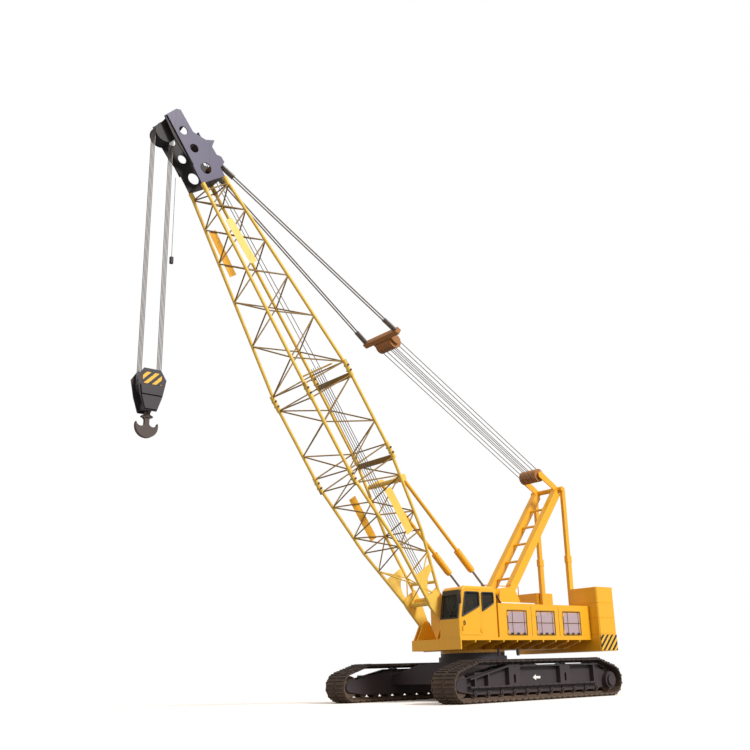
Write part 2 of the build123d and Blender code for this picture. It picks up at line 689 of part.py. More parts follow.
house_length = HOUSE_FRONT - HOUSE_REAR
house_x = (HOUSE_FRONT + HOUSE_REAR) / 2
house_depth = DECK_HALF - HOUSE_INNER
house_height = HOUSE_TOP - DECK_TOP
hatch_height = HATCH_TOP - HATCH_BOTTOM
hatch_z = (HATCH_TOP + HATCH_BOTTOM) / 2
hatch_hinges = (HATCH_BOTTOM + 130, HATCH_TOP - 130)

for side, sign in SIDES:
    with BuildPart() as house:
        with Locations((house_x, sign * (HOUSE_INNER + DECK_HALF) / 2, DECK_TOP + house_height / 2)):
            Box(house_length, house_depth, house_height)
        offset(amount=-HOUSE_WALL, mode=Mode.SUBTRACT)
        for front in HATCH_FRONTS:
            depth = HOUSE_WALL if side == "left" else LOUVRE_RECESS
            grow = 2 * DOOR_GAP if side == "left" else 0
            with Locations((front - HATCH_WIDTH / 2, sign * (DECK_HALF - depth / 2), hatch_z)):
                Box(HATCH_WIDTH + grow, depth, hatch_height + grow, mode=Mode.SUBTRACT)
            if side == "left":
                for z in hatch_hinges:
                    bracket_z = z - (HATCH_KNUCKLE + BRACKET) / 2 - SEAT
                    with Locations((front + DOOR_GAP / 2, hinge_y, bracket_z)):
                        Cylinder(HINGE_RADIUS, BRACKET)
                    with Locations((front + DOOR_GAP / 2, DECK_HALF, bracket_z)):
                        Box(45, HINGE_OUT, BRACKET, align=(Align.MIN, Align.MIN, Align.CENTER))
    house.part.label = f"house_{side}"
    export_step(house.part, f"parts/house_{side}.step")

for n, front in enumerate(HATCH_FRONTS):
    with BuildPart() as hatch:
        with Locations((front - HATCH_WIDTH / 2, DECK_HALF - HOUSE_WALL / 2, hatch_z)):
            Box(HATCH_WIDTH, HOUSE_WALL, hatch_height)
        # One recessed grille field, crossed by two thin uprights and a rail
        with BuildSketch(side_plane(DECK_HALF)):
            with Locations((front - HATCH_WIDTH / 2, hatch_z)):
                Rectangle(HATCH_WIDTH - 2 * HATCH_RIM, hatch_height - 2 * HATCH_RIM)
                Rectangle(HATCH_WIDTH, GRILLE_BAR, mode=Mode.SUBTRACT)
            for share in GRILLE_UPRIGHTS:
                with Locations((front - HATCH_WIDTH * share, hatch_z)):
                    Rectangle(GRILLE_BAR, hatch_height, mode=Mode.SUBTRACT)
        extrude(amount=LOUVRE_RECESS, mode=Mode.SUBTRACT)
        for z in hatch_hinges:
            with Locations((front + DOOR_GAP / 2, hinge_y, z)):
                Cylinder(HINGE_RADIUS, HATCH_KNUCKLE)
            with Locations((front, DECK_HALF, z)):
                Box(50, HINGE_OUT, HATCH_KNUCKLE, align=(Align.MAX, Align.MIN, Align.CENTER))
    hatch.part.label = f"hatch_{n + 1}"
    export_step(hatch.part, f"parts/hatch_{n + 1}.step")

with BuildPart() as engine:
    with Locations((-1900, (HOUSE_INNER + DECK_HALF) / 2, DECK_TOP + HOUSE_WALL)):
        Box(1900, 480, 820, align=(Align.CENTER, Align.CENTER, Align.MIN))
engine.part.label = "engine"
export_step(engine.part, "parts/engine.step")

# ---------------------------------------------------------------- winches

for name, x, z, radius, flange in DRUMS:
    with BuildPart() as drum:
        with BuildSketch(side_plane(0)):
            with Locations((x, z)):
                Circle(radius)
        extrude(amount=DRUM_HALF - 10, both=True)
        for y in (-DRUM_HALF + 20, DRUM_HALF - 20):
            with BuildSketch(side_plane(y)):
                with Locations((x, z)):
                    Circle(flange)
            extrude(amount=20, both=True)
        with BuildSketch(side_plane(0)):
            with Locations((x, z)):
                Circle(DRUM_SHAFT)
        extrude(amount=DRUM_HALF + EAR_GAP + STAND_PLATE, both=True)
    drum.part.label = f"{name}_drum"
    export_step(drum.part, f"parts/{name}_drum.step")

# ---------------------------------------------------------------- counterweight

with BuildPart() as counterweight_base:
    with Locations(((WEIGHT_FRONT + WEIGHT_REAR) / 2, 0, (WEIGHT_BOTTOM + WEIGHT_LEVELS[0]) / 2)):
        Box(WEIGHT_FRONT - WEIGHT_REAR, 2 * WEIGHT_HALF, WEIGHT_LEVELS[0] - WEIGHT_BOTTOM)
    chamfer(counterweight_base.edges().filter_by(Axis.Z), 60)
counterweight_base.part.label = "counterweight_base"
export_step(counterweight_base.part, "parts/counterweight_base.step")

for level, low, high in zip(("lower", "middle", "upper"), WEIGHT_LEVELS, WEIGHT_LEVELS[1:]):
    with BuildPart() as slabs:
        slab_y = (WEIGHT_INNER + WEIGHT_HALF) / 2
        with Locations(*[((WEIGHT_FRONT + WEIGHT_REAR) / 2, sign * slab_y, (low + high) / 2) for sign in (-1, 1)]):
            Box(WEIGHT_FRONT - WEIGHT_REAR, WEIGHT_HALF - WEIGHT_INNER, high - low)
        chamfer(slabs.edges().filter_by(Axis.Z), 40)
        chamfer(slabs.faces().filter_by(Axis.Z).edges(), SEAM_CHAMFER)
    slabs.part.label = f"counterweight_{level}"
    export_step(slabs.part, f"parts/counterweight_{level}.step")

# ---------------------------------------------------------------- gantry

mast_foot = Vector(MAST_FOOT[0], 0, MAST_FOOT[1])
mast_top = Vector(HEAD_AXLE[0], 0, HEAD_AXLE[1])
mast_run = (mast_top - mast_foot).normalized()
mast_end = mast_top - mast_run * (HEAD_TUBE + 60)
with BuildPart() as gantry_mast:
    for sign in (-1, 1):
        across = Vector(0, sign * MAST_Y, 0)
        with BuildSketch(Plane(origin=mast_foot + mast_run * 260 + across, x_dir=(0, 1, 0), z_dir=mast_run)):
            Rectangle(*MAST_BOX)
        extrude(amount=(mast_end - mast_foot).length - 260)
        with BuildSketch(side_plane(sign * MAST_Y)):
            with Locations(MAST_FOOT):
                Circle(125)
            reach = mast_foot + mast_run * 400
            with Locations((reach.X, reach.Z)):
                Circle(140)
            make_hull()
            with Locations(MAST_FOOT):
                Circle(PIN_RADIUS + PIN_GAP, mode=Mode.SUBTRACT)
        extrude(amount=MAST_BOX[0] / 2, both=True)
    rungs = [mast_foot + mast_run * share for share in (700, 1500, 2350, 3200, 4050)]
    left, right = Vector(0, MAST_Y - 60, 0), Vector(0, 60 - MAST_Y, 0)
    add([bar(rung + left, rung + right, 45, 6) for rung in rungs])
gantry_mast.part.label = "gantry_mast"
export_step(gantry_mast.part, "parts/gantry_mast.step")

with BuildPart() as rear_legs_lower:
    for sign in (-1, 1):
        with Locations((REAR_LEG_X, sign * REAR_LEG_Y, TAIL_TOP)):
            Box(200, 130, KNEE_Z - TAIL_TOP, align=(Align.CENTER, Align.CENTER, Align.MIN))
rear_legs_lower.part.label = "gantry_legs_lower"
export_step(rear_legs_lower.part, "parts/gantry_legs_lower.step")

with BuildPart() as rear_legs_upper:
    for sign in (-1, 1):
        with Locations((REAR_LEG_X, sign * REAR_LEG_Y, KNEE_Z)):
            Box(170, 120, HEAD_AXLE[1] - HEAD_TUBE - KNEE_Z, align=(Align.CENTER, Align.CENTER, Align.MIN))
        with Locations((REAR_LEG_X, sign * REAR_LEG_Y, KNEE_Z)):
            Box(240, 150, 260, align=(Align.CENTER, Align.CENTER, Align.MIN))
rear_legs_upper.part.label = "gantry_legs_upper"
export_step(rear_legs_upper.part, "parts/gantry_legs_upper.step")

with BuildPart() as gantry_head:
    with BuildSketch(side_plane(0)):
        with Locations(HEAD_AXLE):
            Circle(HEAD_TUBE)
    extrude(amount=REAR_LEG_Y + 80, both=True)
    for sign in (-1, 1):
        with BuildSketch(side_plane(sign * ARM_Y)):
            with Locations(HEAD_AXLE):
                Circle(110)
            with Locations(SHEAVE_AXLE):
                Circle(130)
            make_hull()
        extrude(amount=ARM_PLATE / 2, both=True)
        with Locations((REAR_LEG_X, sign * REAR_LEG_Y, HEAD_AXLE[1] - HEAD_TUBE)):
            Box(160, 120, 120, align=(Align.CENTER, Align.CENTER, Align.MIN))
        # The cap that joins the mast leg to the cross tube
        cap = Plane(origin=mast_end + Vector(0, sign * MAST_Y, 0), x_dir=(0, 1, 0), z_dir=mast_run)
        with BuildSketch(cap):
            Rectangle(MAST_BOX[0] - 40, MAST_BOX[1] - 100)
        extrude(amount=90)
gantry_head.part.label = "gantry_head"
export_step(gantry_head.part, "parts/gantry_head.step")


def sheaves(x, z, radius, rope, count, pitch, axle, half):
    """Adds a row of grooved sheaves on one axle, which spans the given half length, across the crane."""
    width = count * pitch
    with BuildSketch(Plane(origin=(x, 0, z))) as profile:
        with BuildLine():
            points = [(0, -half), (axle, -half), (axle, -width / 2)]
            for n in range(count):
                low = -width / 2 + n * pitch
                points += [(radius, low + RIM), (radius - 2 * rope, low + pitch / 2)]
                points += [(radius, low + pitch - RIM)]
            points += [(axle, width / 2), (axle, half), (0, half)]
            Polyline(*points, close=True)
        make_face()
    revolve(profile.sketch, axis=Axis((x, 0, z), (0, 1, 0)))


with BuildPart() as gantry_sheaves:
    sheaves(*SHEAVE_AXLE, FALL_SHEAVE, FALL_ROPE, FALL_COUNT, FALL_PITCH, 60, ARM_Y - ARM_PLATE / 2)
gantry_sheaves.part.label = "gantry_sheaves"
export_step(gantry_sheaves.part, "parts/gantry_sheaves.step")

# ---------------------------------------------------------------- boom


def corners(along, half_width, half_depth):
    """The centres of the four chords at a place along the boom, in order round the section."""
    return [
        boom_point(along, half_width, -half_depth), boom_point(along, half_width, half_depth),
        boom_point(along, -half_width, half_depth), boom_point(along, -half_width, -half_depth),
    ]


def lattice(start, end, bays, low_inset=0, high_inset=0, grade=1.0, turn=0):
    """The members of a lattice between two stations, each (along, half width, half depth).

    The insets keep the first and last lacing back from the joint planes. Each bay is the bay below it
    times the grade. Turn is 1 where the belly's first diagonal starts from the left chord, not the right.
    """
    length = end[0] - start[0]

    def station(along):
        share = (along - start[0]) / length
        return [a + (b - a) * share for a, b in zip(start, end)]

    first, last = start[0] + low_inset, end[0] - high_inset
    steps = [sum(grade**k for k in range(n)) for n in range(bays + 1)]
    frames = [corners(*station(first + (last - first) * step / steps[-1])) for step in steps]
    members = [bar(a, b, CHORD) for a, b in zip(frames[0], frames[-1])]
    for n, (low, high) in enumerate(zip(frames, frames[1:])):
        for k in range(4):
            beside = (k + 1) % 4
            if (n + k + turn) % 2:
                members.append(bar(low[k], high[beside], LACING, 6))
            else:
                members.append(bar(low[beside], high[k], LACING, 6))
    for inset, ring in ((low_inset, frames[0]), (high_inset, frames[-1])):
        if inset:
            members += [bar(ring[k], ring[(k + 1) % 4], LACING, 6) for k in range(4)]
    return members


def sleeves(along, half_width, half_depth, length):
    """The thicker chord ends at a joint between sections; a negative length runs back down the boom."""
    near, far = corners(along, half_width, half_depth), corners(along + length, half_width, half_depth)
    return [bar(a, b, SLEEVE) for a, b in zip(near, far)]


def foot_depth(along):
    """Half the base section's depth at a place along it."""
    return 140 + (BOOM_HALF_DEPTH - 140) * along / BASE_LENGTH


def half_width(along):
    """Half the boom's width at a place along it."""
    widen = min(max((along - THROAT) / (SHOULDER - THROAT), 0), 1)
    narrow = max((along - BASE_LENGTH - INSERT_LENGTH) / TOP_LENGTH, 0)
    return FOOT_HALF + (BOOM_HALF_WIDTH - FOOT_HALF) * widen + (HEAD_HALF_WIDTH - BOOM_HALF_WIDTH) * narrow


def side_face(along, sign, out):
    """The plane of the boom's left or right side, moved out: local x up the boom, local y to its back."""
    slope = sign * (half_width(along + 1) - half_width(along - 1)) / 2
    zero = boom_point(0, 0, 0)
    return Plane(
        origin=boom_point(along, sign * (half_width(along) + out), 0),
        x_dir=boom_point(1, slope, 0) - zero, z_dir=boom_point(slope, -1, 0) - zero,
    )


throat = (THROAT, FOOT_HALF, foot_depth(THROAT))
shoulder = (SHOULDER, BOOM_HALF_WIDTH, foot_depth(SHOULDER))
base_end = (BASE_LENGTH, BOOM_HALF_WIDTH, BOOM_HALF_DEPTH)
insert_end = (BASE_LENGTH + INSERT_LENGTH, BOOM_HALF_WIDTH, BOOM_HALF_DEPTH)
head_start = (HEAD_LENGTH, HEAD_HALF_WIDTH, HEAD_HALF_DEPTH)

with BuildPart() as boom_base:
    add(lattice(throat, shoulder, 3))
    add(lattice(shoulder, base_end, 4, high_inset=JOINT_INSET, turn=1))
    with BuildSketch(boom_plane(0)):
        with Locations((BASE_LENGTH - JOINT_INSET, foot_depth(BASE_LENGTH - JOINT_INSET))):
            Rectangle(*CROSS_BEAM)
    extrude(amount=BOOM_HALF_WIDTH, both=True)
    ring = corners(*shoulder)
    add([bar(ring[k], ring[(k + 1) % 4], LACING, 6) for k in range(4)])
    add(sleeves(*base_end, -SLEEVE_LENGTH))
    for sign in (-1, 1):
        # The foot: a lug round the pin that spreads to the two chords of its side.
        with BuildSketch(boom_plane(sign * FOOT_HALF)):
            Circle(FOOT_RADIUS - 10)
            with Locations((THROAT + 150, 0)):
                Rectangle(300, 2 * foot_depth(THROAT) + 120)
            make_hull()
            Circle(PIN_RADIUS + PIN_GAP, mode=Mode.SUBTRACT)
        extrude(amount=FOOT_LUG / 2, both=True)
        # A web between the two chords, arched out towards the back
        low, high, neck = FOOT_WEB
        with BuildSketch(side_face(high, sign, 0)):
            with BuildLine():
                rise, fall = foot_depth(high), foot_depth(low)
                Polyline((low - high, 0), (low - high, -fall), (0, -rise), (0, rise), (-neck, rise - 10))
                ThreePointArc((-neck, rise - 10), ((low - high) * 0.45, -fall / 4), (low - high, 0))
            make_face()
        extrude(amount=12, both=True)
    with BuildSketch(boom_plane(0)):
        with Locations((THROAT, foot_depth(THROAT) / 2), (THROAT, -foot_depth(THROAT) / 2)):
            Circle(FOOT_TUBE)
    extrude(amount=FOOT_HALF, both=True)
boom_base.part.label = "boom_base"
export_step(boom_base.part, "parts/boom_base.step")

with BuildPart() as boom_insert:
    add(lattice(base_end, insert_end, 3, JOINT_INSET, JOINT_INSET, turn=1))
    with BuildSketch(boom_plane(0)):
        with Locations((insert_end[0] - JOINT_INSET, BOOM_HALF_DEPTH)):
            Rectangle(*CROSS_BEAM)
    extrude(amount=BOOM_HALF_WIDTH, both=True)
    add(sleeves(*base_end, SLEEVE_LENGTH))
    add(sleeves(*insert_end, -SLEEVE_LENGTH))
boom_insert.part.label = "boom_insert"
export_step(boom_insert.part, "parts/boom_insert.step")

with BuildPart() as boom_top:
    add(lattice(insert_end, head_start, 10, JOINT_INSET, JOINT_INSET, TOP_GRADE))
    add(sleeves(*insert_end, SLEEVE_LENGTH))
    add(sleeves(*head_start, -SLEEVE_LENGTH))
boom_top.part.label = "boom_top"
export_step(boom_top.part, "parts/boom_top.step")

# The head: two side plates with lightening holes and a fin for the pendants' pin, joined by cross plates and
# open below, with two hangers between them that carry the hoist sheaves' axle. Distances are from its start.
HEAD_OUTLINE = (
    (0, -HEAD_HALF_DEPTH - 40), (0, HEAD_HALF_DEPTH + 20), (300, 460), (420, 700), (620, 690), (720, 560),
    (1000, 545), (1170, 750), (1260, 440), (1600, 140), (2360, 105), (2420, -30), (2310, -550), (1670, -605),
    (1240, -577), (650, -470),
)
HEAD_HOLES = ((1720, -170, 140), (1100, -116, 145), (410, -73, 190))
HEAD_RIB = (600, 2300, -473)  # start, end and height of the rib on each plate's outer face
with BuildPart() as boom_head:
    for sign in (-1, 1):
        with BuildSketch(boom_plane(sign * HEAD_HALF_WIDTH)):
            with BuildLine():
                Polyline(*[(head_start[0] + along, above) for along, above in HEAD_OUTLINE], close=True)
            make_face()
            for along, above, radius in HEAD_HOLES:
                with Locations((head_start[0] + along, above)):
                    Circle(radius, mode=Mode.SUBTRACT)
        extrude(amount=HEAD_PLATE / 2, both=True)
        with BuildSketch(boom_plane(sign * (HEAD_HALF_WIDTH + HEAD_PLATE / 2))):
            with Locations((head_start[0] + (HEAD_RIB[0] + HEAD_RIB[1]) / 2, HEAD_RIB[2])):
                Rectangle(HEAD_RIB[1] - HEAD_RIB[0], 24)
        extrude(amount=-sign * 45)
        with BuildSketch(boom_plane(sign * HANGER_Y)):
            with Locations(HEAD_SHEAVE_AT):
                Circle(HANGER_RADIUS)
            with Locations((head_start[0] + HEAD_CROSS[0][0], HEAD_CROSS[0][1])):
                Rectangle(HEAD_CROSS[0][2], HEAD_CROSS[0][3])
            make_hull()
        extrude(amount=HANGER / 2, both=True)
    with BuildSketch(boom_plane(0)):
        for along, above, length, depth in HEAD_CROSS:
            with Locations((head_start[0] + along, above)):
                Rectangle(length, depth)
    extrude(amount=HEAD_HALF_WIDTH, both=True)
boom_head.part.label = "boom_head"
export_step(boom_head.part, "parts/boom_head.step")

head_axle = boom_point(HEAD_SHEAVE_AT[0], 0, HEAD_SHEAVE_AT[1])
with BuildPart() as head_sheaves:
    inner = HANGER_Y - HANGER / 2
    sheaves(head_axle.X, head_axle.Z, HOIST_SHEAVE, HOIST_ROPE, HOIST_COUNT, HOIST_PITCH, 60, inner)
head_sheaves.part.label = "head_sheaves"
export_step(head_sheaves.part, "parts/head_sheaves.step")

# Sign boards on the boom's left and right sides, blank: start, length, middle above the centre line, height
BOARDS = ((13200, 1550, -275, 270), (3350, 1600, 80, 300))
with BuildPart() as boom_boards:
    for along, length, above, height in BOARDS:
        for sign in (-1, 1):
            # On the tapered section the lacing's flats are turned a little from the side's plane.
            board_seat = LACING * cos(radians(30)) + SEAT + (1.2 if along > insert_end[0] else 0)
            with BuildSketch(side_face(along + length / 2, sign, board_seat)):
                with Locations((0, above)):
                    Rectangle(length, height)
            extrude(amount=-8 * sign)
boom_boards.part.label = "boom_boards"
export_step(boom_boards.part, "parts/boom_boards.step")

# ---------------------------------------------------------------- luffing gear

fall_start = Vector(SHEAVE_AXLE[0], 0, SHEAVE_AXLE[1])
equaliser = Vector(EQUALISER_AT[0], 0, EQUALISER_AT[1])
fall_run = (equaliser - fall_start).normalized()
fall_up = Vector(-fall_run.Z, 0, fall_run.X)
pendant_lug = boom_point(LUG_AT[0], 0, LUG_AT[1])
on_sheave = rope_seat(FALL_SHEAVE, FALL_ROPE, FALL_PITCH, SEAT)
off_sheave = rope_seat(FALL_SHEAVE, FALL_ROPE, FALL_PITCH, RUN_GAP)
# name, first groove, height above the gantry's axle, height above the equaliser's axle
for name, first, above_gantry, above_equaliser in (
    ("upper", 0, off_sheave, on_sheave), ("lower", 1, -on_sheave, -off_sheave),
):
    with BuildPart() as falls:
        for n in range(first, FALL_COUNT, 2):
            across = Vector(0, (n - (FALL_COUNT - 1) / 2) * FALL_PITCH, 0)
            low = fall_start + across + fall_up * above_gantry
            add(bar(low, equaliser + across + fall_up * above_equaliser, FALL_ROPE))
    falls.part.label = f"{name}_falls"
    export_step(falls.part, f"parts/{name}_falls.step")

with BuildPart() as equaliser_beam:
    sheaves(*EQUALISER_AT, FALL_SHEAVE, FALL_ROPE, FALL_COUNT, FALL_PITCH, 60, 480)
    with BuildSketch(Plane(origin=equaliser + fall_run * 330, x_dir=(0, 1, 0), z_dir=fall_run)):
        Rectangle(2 * EQUALISER_HALF, 200)
    extrude(amount=90, both=True)
    for sign in (-1, 1):
        with BuildSketch(Plane(origin=(EQUALISER_AT[0], sign * 460, EQUALISER_AT[1]), x_dir=fall_run, z_dir=(0, -1, 0))):
            Circle(120)
            with Locations((330, 0)):
                Rectangle(180, 200)
            make_hull()
        extrude(amount=20, both=True)
equaliser_beam.part.label = "equaliser"
export_step(equaliser_beam.part, "parts/equaliser.step")

beam = equaliser + fall_run * 425
with BuildPart() as pendants:
    for sign in (-1, 1):
        for strand in (-0.5, 0.5):
            low = beam + Vector(0, sign * (EQUALISER_HALF - 110) + strand * PENDANT_SPACING, 0)
            high = pendant_lug + Vector(0, sign * LUG_Y * 0.62 + strand * PENDANT_SPACING, 0)
            run = (high - low).normalized()
            top = high - run * 160
            add(bar(low, top, PENDANT))
            add(bar(low, low + run * SOCKET_LENGTH, SOCKET))
            add(bar(top - run * SOCKET_LENGTH, top, SOCKET))
pendants.part.label = "pendants"
export_step(pendants.part, "parts/pendants.step")

with BuildPart() as pendant_link:
    # The links between the pendants' sockets and the lug pin on the boom head
    with BuildSketch(side_plane(0)):
        with Locations((pendant_lug.X, pendant_lug.Z)):
            Circle(60)
    extrude(amount=HEAD_HALF_WIDTH - HEAD_PLATE / 2 - SEAT, both=True)
    run = (pendant_lug - beam).normalized()
    for sign in (-1, 1):
        across = sign * LUG_Y * 0.62
        with BuildSketch(Plane(origin=(pendant_lug.X, across, pendant_lug.Z), x_dir=run, z_dir=(0, -1, 0))):
            Circle(70)
            with Locations((-126, 0)):
                Rectangle(60, 120)
            make_hull()
        extrude(amount=(PENDANT_SPACING + 80) / 2, both=True)
pendant_link.part.label = "pendant_link"
export_step(pendant_link.part, "parts/pendant_link.step")

# ---------------------------------------------------------------- hoist

HX, HZ = head_axle.X, head_axle.Z
hoist_seat = rope_seat(HOIST_SHEAVE, HOIST_ROPE, HOIST_PITCH, SEAT)
with BuildPart() as hoist_falls:
    for n in range(HOIST_COUNT):
        across = (n - (HOIST_COUNT - 1) / 2) * HOIST_PITCH
        for reach in (-hoist_seat, hoist_seat):
            add(bar((HX + reach, across, BLOCK_Z), (HX + reach, across, HZ), HOIST_ROPE))
hoist_falls.part.label = "hoist_falls"
export_step(hoist_falls.part, "parts/hoist_falls.step")

with BuildPart() as hook_block:
    sheaves(HX, BLOCK_Z, HOIST_SHEAVE, HOIST_ROPE, HOIST_COUNT, HOIST_PITCH, 60, CHEEK_Y)
    for sign in (-1, 1):
        with BuildSketch(side_plane(sign * CHEEK_Y)):
            outline((
                (HX - 430, BLOCK_Z + 150), (HX - 250, BLOCK_TOP), (HX + 250, BLOCK_TOP), (HX + 430, BLOCK_Z + 150),
                (HX + 330, BLOCK_Z - 350), (HX + 180, BLOCK_BOTTOM), (HX - 180, BLOCK_BOTTOM),
                (HX - 330, BLOCK_Z - 350),
            ))
        extrude(amount=CHEEK / 2, both=True)
        # Two steps of ballast plates on the lower half of the cheek
        with BuildSketch(side_plane(sign * (CHEEK_Y + CHEEK / 2))):
            outline((
                (HX - 345, BLOCK_Z - 60), (HX + 345, BLOCK_Z - 60), (HX + 300, BLOCK_Z - 330), (HX - 300, BLOCK_Z - 330),
            ))
        extrude(amount=-sign * 60)
        with BuildSketch(side_plane(sign * (CHEEK_Y + CHEEK / 2))):
            outline((
                (HX - 300, BLOCK_Z - 360), (HX + 300, BLOCK_Z - 360), (HX + 180, BLOCK_BOTTOM + 40),
                (HX - 180, BLOCK_BOTTOM + 40),
            ))
        extrude(amount=-sign * 40)
    # The swivel's crosspiece below the sheaves and the guard above them
    with Locations((HX, 0, BLOCK_BOTTOM + 150)):
        Box(300, 2 * CHEEK_Y, 180)
    with Locations((HX, 0, BLOCK_TOP - 30)):
        Box(360, 2 * CHEEK_Y, 60)
    with BuildSketch(Plane.XY.offset(BLOCK_BOTTOM)):
        with Locations((HX, 0)):
            Circle(60 + PIN_GAP)
    extrude(amount=260, mode=Mode.SUBTRACT)
hook_block.part.label = "hook_block"
export_step(hook_block.part, "parts/hook_block.step")

with BuildPart() as hook:
    with BuildSketch(Plane.XY.offset(BLOCK_BOTTOM - 60)):
        with Locations((HX, 0)):
            Circle(60)
    extrude(amount=300)
    with BuildSketch(Plane.XY.offset(BLOCK_BOTTOM - 160)):
        with Locations((HX, 0)):
            Circle(95)
    extrude(amount=120)
    # A double hook: an anchor outline of arcs
    with BuildSketch(side_plane(0)):
        with Locations((HX, HOOK_BOTTOM + 330)):
            Circle(330)
            with Locations((-180, 120), (180, 120)):
                Circle(135, mode=Mode.SUBTRACT)
            with Locations((-330, 300), (330, 300)):
                Rectangle(330, 300, mode=Mode.SUBTRACT)
        with Locations((HX, HOOK_BOTTOM + 400)):
            Rectangle(130, 420)
    extrude(amount=60, both=True)
hook.part.label = "hook"
export_step(hook.part, "parts/hook.step")

# ---------------------------------------------------------------- backstops

stop_top = boom_point(STOP_AT[0], 0, STOP_AT[1])
stop_foot = Vector(STOP_FOOT[0], 0, STOP_FOOT[1])
stop_run = (stop_foot - stop_top).normalized()
stop_length = (stop_foot - stop_top).length
housing_end = stop_top + stop_run * (stop_length - ROD_SHOWS)
housing_start = housing_end - stop_run * SPRING_LENGTH

with BuildPart() as stop_beam:
    # The beam across the boom's back that carries the backstops' upper pins
    ring = corners(STOP_AT[0], BOOM_HALF_WIDTH, foot_depth(STOP_AT[0]) + CHORD + STOP_BEAM + 2)
    start, end = ring[1], ring[2]
    add(bar(start, end, STOP_BEAM))
    for sign in (-1, 1):
        for ear in (-1, 1):
            across = sign * STOP_Y + ear * (SPRING_HOUSING - 20)
            with BuildSketch(boom_plane(across)):
                with Locations((STOP_AT[0], STOP_AT[1])):
                    Circle(90)
                with Locations((STOP_AT[0], foot_depth(STOP_AT[0]) + CHORD + STOP_BEAM + 2)):
                    Rectangle(200, 60)
                make_hull()
            extrude(amount=15, both=True)
        with BuildSketch(boom_plane(sign * STOP_Y)):
            with Locations(STOP_AT):
                Circle(35)
        extrude(amount=SPRING_HOUSING - 20, both=True)
stop_beam.part.label = "backstop_beam"
export_step(stop_beam.part, "parts/backstop_beam.step")

for side, sign in SIDES:
    across = Vector(0, sign * STOP_Y, 0)
    with BuildPart() as stop_tube:
        add(bar(stop_top + stop_run * 60 + across, housing_start + across, STOP_TUBE - 10))
        add(bar(housing_start + across, housing_end + across, SPRING_HOUSING))
        with BuildSketch(boom_plane(sign * STOP_Y)):
            with Locations(STOP_AT):
                Circle(70)
        extrude(amount=60, both=True)
        with BuildSketch(boom_plane(sign * STOP_Y)):
            with Locations(STOP_AT):
                Circle(35 + PIN_GAP)
        extrude(amount=60, both=True, mode=Mode.SUBTRACT)
        depth = stop_length - ROD_SHOWS - 300
        with BuildSketch(Plane(origin=housing_end + across, z_dir=-stop_run)):
            Circle(STOP_ROD + PIN_GAP)
        extrude(amount=depth, mode=Mode.SUBTRACT)
    stop_tube.part.label = f"backstop_tube_{side}"
    export_step(stop_tube.part, f"parts/backstop_tube_{side}.step")

    with BuildPart() as stop_rod:
        add(bar(housing_end - stop_run * ROD_INSIDE + across, stop_foot - stop_run * 60 + across, STOP_ROD))
        with BuildSketch(side_plane(sign * STOP_Y)):
            with Locations(STOP_FOOT):
                Circle(70)
        extrude(amount=EYE_HALF, both=True)
        with BuildSketch(side_plane(sign * STOP_Y)):
            with Locations(STOP_FOOT):
                Circle(TRUNNION)
        extrude(amount=TRUNNION_HALF, both=True)
    stop_rod.part.label = f"backstop_rod_{side}"
    export_step(stop_rod.part, f"parts/backstop_rod_{side}.step")
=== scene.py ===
# %% [markdown]
# # A crawler crane, dressed for its picture
# The crane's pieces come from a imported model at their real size, in metres: +X is forward, +Y left and +Z up.
# This script adds what a designer leaves to the eye: finishes, tread, ropes, seals, stripes and small gear.

# %% Load the crane
import json
import math

import bpy
from mathutils import Matrix, Vector


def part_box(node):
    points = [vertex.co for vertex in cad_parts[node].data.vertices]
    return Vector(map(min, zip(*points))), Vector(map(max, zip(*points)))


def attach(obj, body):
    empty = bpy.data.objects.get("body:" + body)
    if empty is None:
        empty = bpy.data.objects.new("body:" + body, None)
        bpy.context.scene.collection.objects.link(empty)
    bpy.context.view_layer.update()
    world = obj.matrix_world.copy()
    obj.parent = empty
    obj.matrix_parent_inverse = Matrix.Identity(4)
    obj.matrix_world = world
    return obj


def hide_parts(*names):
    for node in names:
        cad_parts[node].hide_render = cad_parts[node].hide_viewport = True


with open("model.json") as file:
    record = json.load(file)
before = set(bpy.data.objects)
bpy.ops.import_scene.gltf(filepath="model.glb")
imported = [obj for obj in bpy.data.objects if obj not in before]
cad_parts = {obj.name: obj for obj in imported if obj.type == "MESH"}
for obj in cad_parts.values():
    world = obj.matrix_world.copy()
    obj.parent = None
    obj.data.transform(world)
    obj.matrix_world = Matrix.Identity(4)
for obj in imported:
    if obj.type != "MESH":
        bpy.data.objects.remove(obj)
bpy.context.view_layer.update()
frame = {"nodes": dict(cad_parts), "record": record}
nodes = frame["nodes"]
bpy.ops.object.select_all(action="DESELECT")

# %% [markdown]
# The camera stands low on the ground, off the crane's front left corner, and looks up at the boom's head.
# Its direction is a heading, a rise and a slight roll, and the lens shift keeps the boom inside the frame.

# %% Camera
CAMERA_PLACE = Vector((22.554, 23.092, 0.969))
LOOK_ASIDE = math.radians(4.217)  # from the crane's slewing axis
RISE = math.radians(17.601)
ROLL = math.radians(-1.662)
LENS = 43.713

